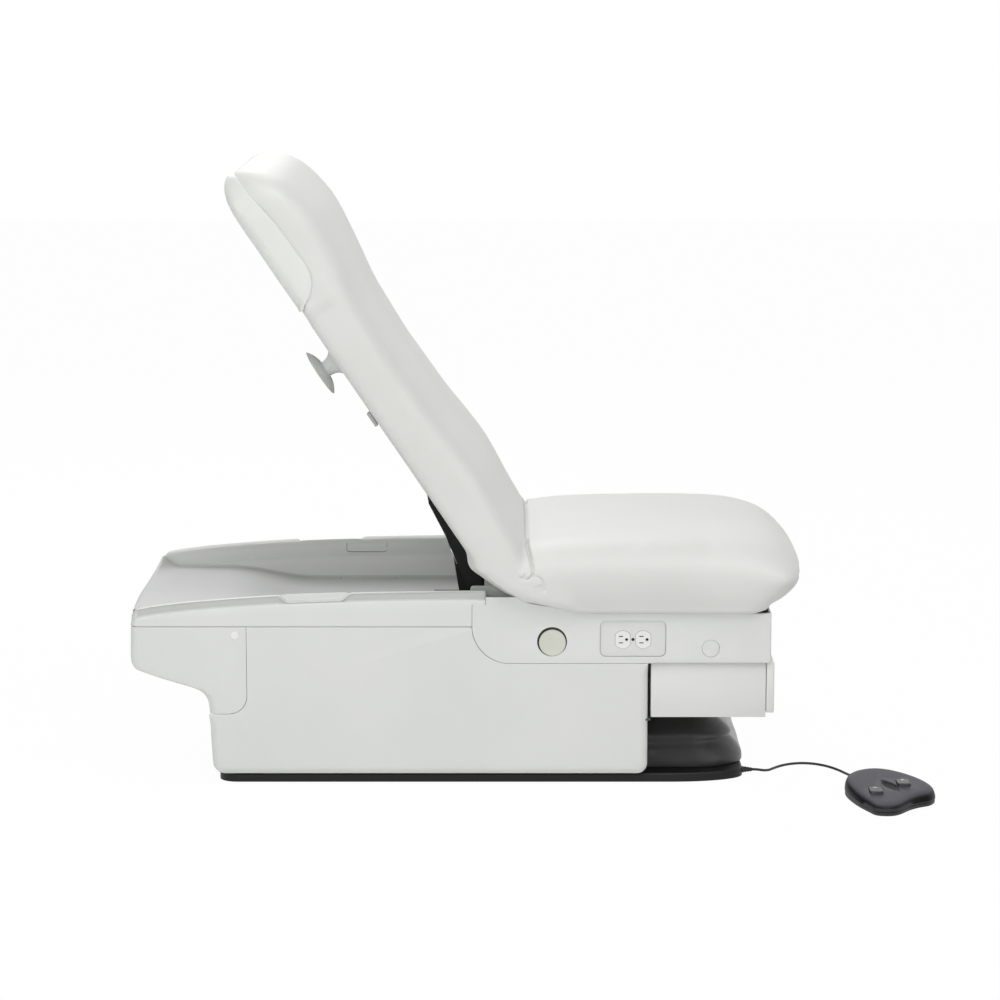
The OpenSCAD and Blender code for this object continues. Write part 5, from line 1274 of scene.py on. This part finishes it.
def back_ring(a):
    """A section of the back: rounded above, straight sides, and an edge that wraps over the board behind."""
    low = BACK_T * np.interp(a / BACK_L, rear_line[:, 0], rear_line[:, 1])
    high = BACK_T * np.interp(a / BACK_L, front_line[:, 0], front_line[:, 1])
    full, middle = back_half(a), 0.5 * (low + high)
    half = [(full * squared(math.cos(t)), middle + (high - middle) * squared(math.sin(t)))
            for t in np.linspace(math.pi / 2, 0, 34)]
    wrap = -1.6 * unit((a - 30) / 40) * unit((640 - a) / 8)
    edge, corner = low + wrap, min(9.0, 0.45 * (high - low))
    half += [(full, middle - (middle - edge - corner) * k / 5) for k in range(1, 6)]
    half += [(full - corner * (1 - math.cos(t)), edge + corner * (1 - math.sin(t))) for t in quarter(7)[1:]]
    half += [(full - 21, edge), (full - 33, low), (full - 120, low), (0, low)]
    ring = []
    for y, b in even(half + [(-y, b) for y, b in half[-2:0:-1]], 150, closed=True):
        if a > 634:
            y -= math.copysign(5.0, y) * eased((rim_at(a) + 6 - b) / 12) * min(1.0, abs(y) / 60)
        x, z = on_back(a, b)
        ring.append((x, y, z))
    return ring


bridge_line = even(smooth_line([
    (-42, 36), (-25, 24), (0, 5), (14, -2), (42, -20), (71, -31), (110, -41), (166, -45), (150, -10), (100, 10),
    (60, 20), (10, 40), (-20, 60), (-44, 62)], 5, closed=True), 64, closed=True)


def bridge_ring(s):
    """A section of the bridge under the hinge, pulled in a little at both sides."""
    y = s * (HALF_WIDTH - 1)
    t = max(0.0, (abs(y) - HALF_WIDTH + 40) / 40)
    pull = 0.22 * (1 - math.sqrt(max(0.0, 1 - t * t)))
    return [(HINGE[0] + x + pull * (50 - x), y, HINGE[1] + z + pull * (10 - z)) for x, z in bridge_line]


stations = np.concatenate([-np.cos(quarter(14)) ** 0.6, np.cos(np.linspace(math.pi / 2, 0, 14))[1:] ** 0.6])
seat_foam = loft("seat_foam", [seat_ring(s) for s in stations])
back_places = np.concatenate([[-45, -30, -15], np.linspace(0, 630, 40), np.linspace(636, 870, 24),
                              919.6 - 49.6 * (1 - np.sin(quarter(11)))[1:]])
back_foam = loft("back_foam", [back_ring(a) for a in back_places])
bridge_foam = loft("bridge_foam", [bridge_ring(s) for s in stations])
print("foam points", sum(len(o.data.vertices) for o in (seat_foam, back_foam, bridge_foam)))

# %% Fuse them, fill them with a cloth simulation and finish the skin
VOXEL, CLOTH_FRAMES, PRESSURE = 0.0065, 20, 4.0
CAP, CAP_AT_SHELL, CAP_UNDER_SEAT = 0.004, 0.0006, 0.001


def fuse(name, objects):
    """Joins closed shapes into one closed skin by a voxel remesh."""
    work = bmesh.new()
    for obj in objects:
        work.from_mesh(obj.data)
    mesh = bpy.data.meshes.new(name)
    work.to_mesh(mesh)
    work.free()
    for obj in objects:
        bpy.data.objects.remove(obj)
    joined = put(name, mesh)
    with_modifier(joined, "REMESH", mode="VOXEL", voxel_size=VOXEL)
    return with_modifier(joined, "SMOOTH", factor=0.5, iterations=4)


def fill_with_cloth(obj, frames, pressure, cap):
    """Runs a pressure cloth, then lets no point move further than its cap, one value a point, in metres."""
    rest = points_of(obj.data)
    cloth = obj.modifiers.new("cloth", "CLOTH")
    cloth.settings.use_pressure = True
    cloth.settings.uniform_pressure_force = pressure
    cloth.settings.effector_weights.gravity = 0
    cloth.settings.quality = 4
    cloth.settings.tension_stiffness = 18
    cloth.settings.compression_stiffness = 18
    cloth.settings.bending_stiffness = 0.4
    cloth.collision_settings.use_collision = False
    scene = bpy.context.scene
    for step in range(1, frames + 1):
        scene.frame_set(step)
    depsgraph = bpy.context.evaluated_depsgraph_get()
    mesh = bpy.data.meshes.new_from_object(obj.evaluated_get(depsgraph))
    moved = points_of(mesh) - rest
    far = np.linalg.norm(moved, axis=1, keepdims=True)
    moved *= np.minimum(1, cap[:, None] / np.maximum(far, 1e-9))
    obj.modifiers.clear()
    scene.frame_set(1)
    obj.data.vertices.foreach_set("co", (rest + moved).astype(np.float32).ravel())
    obj.data.update()


upholstery = fuse("upholstery", [seat_foam, back_foam, bridge_foam])
skin = points_of(upholstery.data) / MM
up_back = -(skin[:, 0] - HINGE[0]) * math.cos(BACK_ANGLE) + (skin[:, 2] - HINGE[1]) * math.sin(BACK_ANGLE)
out_front = (skin[:, 0] - HINGE[0]) * math.sin(BACK_ANGLE) + (skin[:, 2] - HINGE[1]) * math.cos(BACK_ANGLE)
# the skin may swell less where the head shell and the hip covers lie against it
cap = np.full(len(skin), CAP)
cap[(up_back > 620) & (out_front < 66)] = CAP_AT_SHELL
cap[(skin[:, 0] > 60) & (skin[:, 2] < 348)] = CAP_UNDER_SEAT
fill_with_cloth(upholstery, CLOTH_FRAMES, PRESSURE, cap)
with_modifier(upholstery, "SMOOTH", factor=0.5, iterations=4)
with_modifier(upholstery, "SUBSURF", levels=1, render_levels=1)


# %% Press the crease and the tucks into the skin
def press_lines(obj, lines):
    """Moves the skin in along lines, each with a width and a depth in mm; a depth below 0 lifts the skin."""
    points = points_of(obj.data) / MM
    normals = np.empty(len(obj.data.vertices) * 3, np.float32)
    obj.data.vertices.foreach_get("normal", normals)
    normals = normals.reshape(-1, 3).astype(float)
    moved = np.zeros_like(points)
    for line, width, depth in lines:
        path = even(smooth_line(line, 8), 60)
        low, high = path.min(0) - 4 * width, path.max(0) + 4 * width
        near = np.where(((points > low) & (points < high)).all(1))[0]
        if not len(near):
            continue
        far = np.linalg.norm(points[near][:, None, :] - path[None], axis=2)
        nearest = far.argmin(1)
        end = np.minimum(nearest, len(path) - 1 - nearest) / (0.18 * len(path))
        share = np.exp(-0.5 * (far.min(1) / width) ** 2) * np.clip(0.25 + end, 0, 1)
        moved[near] -= normals[near] * (share * depth)[:, None]
    obj.data.vertices.foreach_set("co", ((points + moved) * MM).astype(np.float32).ravel())
    obj.data.update()


def cut_finer(obj, low, high, times=1):
    """Subdivides the part of a skin that lies inside a box, so that a fine fold has points to bend."""
    work = bmesh.new()
    work.from_mesh(obj.data)
    for _ in range(times):
        edges = [e for e in work.edges
                 if all(low[k] < v.co[k] / MM < high[k] for v in e.verts for k in range(3))]
        bmesh.ops.subdivide_edges(work, edges=edges, cuts=1, use_grid_fill=True, smooth=0.0)
    work.to_mesh(obj.data)
    work.free()


def onto(obj, line):
    """The line of points, in mm, put down on the skin."""
    return [tuple(np.array(obj.closest_point_on_mesh(Vector(p) * MM)[1]) / MM) for p in line]


for side in (-1, 1):
    box = sorted((side * 225, side * 360))
    cut_finer(upholstery, (26, box[0], 374), (96, box[1], 476), 2)
cut_finer(upholstery, (30, -225, 440), (66, 225, 480), 1)
SIDE_FOLDS = [
    ([(48, 200, 457), (49, 250, 456), (52, 290, 453), (57, 320, 444), (61, 338, 428), (62, 350, 419),
      (61, 355, 413)], 2.2, 8.0),
    ([(62.5, 353, 421), (61, 356, 414), (56, 356, 408.5), (51, 356, 405)], 1.7, 4.5),
    ([(66, 356, 413), (73, 356, 410), (79, 356, 403), (83, 356, 392), (84, 356, 381)], 2.0, 2.6),
    ([(48, 354, 420), (43, 354, 418), (38, 355, 413)], 3.4, -2.6),
    ([(71, 356, 402), (73, 356, 394)], 4.5, -2.0),
    ([(36, 355, 409), (43, 355, 408), (49, 355, 406)], 2.2, 1.6)]
folds = [(onto(upholstery, [(48, y, 458) for y in np.linspace(-240, 240, 21)]), 3.0, 7.0)]
folds += [(onto(upholstery, [(x, side * y, z) for x, y, z in line]), width, depth)
          for side in (-1, 1) for line, width, depth in SIDE_FOLDS]
press_lines(upholstery, folds)
smooth(upholstery, None)
upholstery.data.materials.clear()
upholstery.data.materials.append(vinyl)
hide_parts("seat_cushion", "back_cushion")
BLEND_REACH = 0.034
across = Vector((-0.883, 0, 0.469))
middle = Vector((HINGE[0] * MM, 0, HINGE[1] * MM))
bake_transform(upholstery, "upper", "back", start=middle - across * BLEND_REACH, end=middle + across * BLEND_REACH)
print("skin faces", len(upholstery.data.polygons))

# %% [markdown]
# ## Panel behind the back
# A thin panel closes the back from behind. The edge of the skin wraps a little over its border.

# %% Panel behind the back
PANEL_LOW, PANEL_HIGH, PANEL_HALF = 34, 630, 322
panel_rings = []
for b, grow in ((-2.9, -1.2), (-2.5, -0.3), (-1.9, 0.0), (-0.9, 0.0)):
    low, high, half = PANEL_LOW - grow, PANEL_HIGH + grow, PANEL_HALF + grow
    panel_rings.append([(on_back(a, b)[0], y, on_back(a, b)[1])
                        for a, y in ((low, -half), (high, -half), (high, half), (low, half))])
dress(loft("rear_panel", panel_rings, cover_plastic, sharp=40), "back", "board_wood", "back_board")
print("rear panel at", round(on_back(330, -2.9)[0], 1))

# %% [markdown]
# ## Head shell
# A plastic shell holds the head end from behind. Its rim rises in a soft S from the panel and then follows the
# head. It is lofted in rows across the back, each row from one rim over the rear to the other, and then gets
# its wall. The rim stands a little proud of the skin, so that a thin shadow shows between them.

# %% Head shell rows
SHELL_REAR = np.array([(636, -5.4), (665, -5.6), (720, -6.2), (855, -6.2), (880, -4.2), (897, 0.4), (908, 5.5),
                       (915, 11), (919, 16)], float)
shell_rows = []
for a in np.concatenate([[636.5, 638, 641, 645, 650, 656, 663, 672, 684], np.linspace(698, 870, 13),
                         919 - 49 * (1 - np.sin(quarter(11)))[1:]]):
    full, rim = back_half(a), rim_at(a)
    rear = min(float(np.interp(a, SHELL_REAR[:, 0], SHELL_REAR[:, 1])), rim - 1.5)
    corner = min(18.0, 0.8 * (rim - rear))
    half = [(full, rim), (full, 0.5 * (rim + rear + corner))]
    half += [(full - corner * (1 - math.cos(t)), rear + corner * (1 - math.sin(t))) for t in quarter(9)]
    half += [(full * k, rear) for k in (0.8, 0.5, 0.2)]
    line = even(half + [(-y, b) for y, b in half[::-1]], 91)
    shell_rows.append([(on_back(a, b)[0], y, on_back(a, b)[1]) for y, b in line])
head_piece = loft("head_shell_part", shell_rows, shell_plastic, closed=False, sharp=None)
if head_piece.data.polygons[20].normal @ Vector((-0.83, 0, -0.56)) < 0:
    head_piece.data.flip_normals()
with_modifier(head_piece, "SOLIDIFY", thickness=0.003, offset=-1, use_even_offset=False)
with_modifier(head_piece, "BEVEL", width=0.0008, segments=2, limit_method="ANGLE", angle_limit=math.radians(60))
dress(smooth(head_piece, None), "back", "head_plastic", "head_shell")
print("head shell rows", len(shell_rows))

# %% [markdown]
# ## Cord cleat
# The cleat is a thin, slightly curved saucer on a hollow neck, fixed to the rear of the back. It is a turned
# part, made from its outline round the line that stands square on the panel.

# %% Cleat
CLEAT_Y, REAR_B = -230.0, -7.1
cleat_low, cleat_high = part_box("cleat")
cleat_x, cleat_z = [(cleat_low[k] + cleat_high[k]) / 2 / MM - HINGE[k // 2] for k in (0, 2)]
cleat_a = float(-cleat_x * math.cos(BACK_ANGLE) + cleat_z * math.sin(BACK_ANGLE))
cleat_upper = smooth_line([(30, 2), (26.5, 6.5), (20, 13), (16.5, 21), (15.4, 29), (17, 31.4), (24, 32.2),
                           (32, 34.6), (40, 38.6), (46, 42.6), (47, 43.6)], 4)
cleat_lower = smooth_line([(46.6, 44.3), (40, 41.2), (32, 37.4), (24, 35.4), (19, 35.0), (17.2, 36.4),
                           (9, 37.4), (0.01, 37.6)], 4)
cleat_rings = []
for r, out in [(30, -4.0), *cleat_upper, *cleat_lower]:
    ring = []
    for t in full_turn(72):
        x, z = on_back(cleat_a + r * math.cos(t), REAR_B - out)
        ring.append((x, CLEAT_Y + r * math.sin(t), z))
    cleat_rings.append(ring)
dress(loft("cord_cleat", cleat_rings, cover_plastic, sharp=45), "back", "head_plastic", "cleat")
print("cleat at", round(cleat_a, 1), "up the back")

# %% [markdown]
# ## Cheeks beside the hinge and shaded grooves in the walls
# Two light cheeks close the view into the hinge beside the tray. They carry on the tray's grey up to the seat.
# A thin dark line of painted shade runs round the cap in each inner wall of the tray, where the groove is.

# %% Hinge cheeks and painted shade in the cap grooves
cheek_outline = [(-56.5, 297), (0, 297), (44, 297), (44, 340)] + arc((20, 362), 20, 0, 90, 8) + [(-30, 382)] \
    + arc((-50.5, 376), 6, 90, 180, 4)
for side, tag in SIDES:
    dress(moulded_panel("hinge_cheek_" + tag, cheek_outline, side, tray_plastic, 1.0, wall=2.4, face=286.0),
          "upper", "rail_grey")
WALL_FACE = np.array([(344, 297.0), (347, 297.6), (352, 298.8), (363.5, 300.2), (370, 302.6), (374, 307.5)])
groove = even(smooth_line([(-318, 364.6), (-318, 352), (-315, 348.4), (-309, 347.4), (-244, 347.4),
                           (-238, 348.4), (-235, 352), (-235, 366.2)], 4), 60)
# Painted shade: a thin dark tube on each inner wall stands for the shade in the groove round the cap.
for side, tag in SIDES:
    path = [(x * MM, side * np.interp(z, WALL_FACE[:, 0], WALL_FACE[:, 1]) * MM, z * MM) for x, z in groove]
    dress(tube("cap_groove_shade_" + tag, path, 0.55 * MM, gap_shade_and_screws, 6), "upper", "rail_grey")
print("cheeks and cap grooves on both sides")

# %% [markdown]
# ## What the camera doesn't see still gets its finish
# CAD nodes whose shape is right keep it, and only take a better material.

# %% Finishes of the carried-over nodes
carried_over = [
    (black_paint, "column_flange boot_ring back_frame base_plate"),
    (alloy, "column_base column_middle column_top"),
    (pan_plastic, "lift_motor bottom_pan actuator_housing control_box"),
    (frame_paint, "upper_frame seat_bearers hinge_brackets actuator_mount"),
    (steel, "outlet_box hinge_pins cover_brackets actuator_rod crank_pin slide_rails drawer_runners"
            " leg_rest_guides leg_rest_tray"),
    (plywood, "seat_board"), (black_cloth, "back_cover"), (clip_plastic, "rear_clip"), (boot_cloth, "boot"),
    (cover_plastic, "back_board cleat drawer_box drawer_housing drawer_front leg_rest_front side_cover_near"
                    " side_cover_far end_cover hip_cover_near hip_cover_far front_skirt outlet_plate trim_caps"
                    " panel_fasteners"),
    (vinyl, "leg_rest_pad"), (black_rubber, "pedal_base pedal_button_left pedal_button_right"),
    (dark_plastic, "pedal_cover"), (rail_plastic, "rail_near rail_far"), (tray_plastic, "tray"),
    (outlet_plastic, "outlet_receptacle"), (plug_plastic, "lock_caps"), (shell_plastic, "head_shell")]
for finish, names in carried_over:
    for node_name in names.split():
        node = frame["nodes"][node_name]
        node.data.materials.clear()
        node.data.materials.append(finish)
print("finishes on carried-over nodes:", len(carried_over))
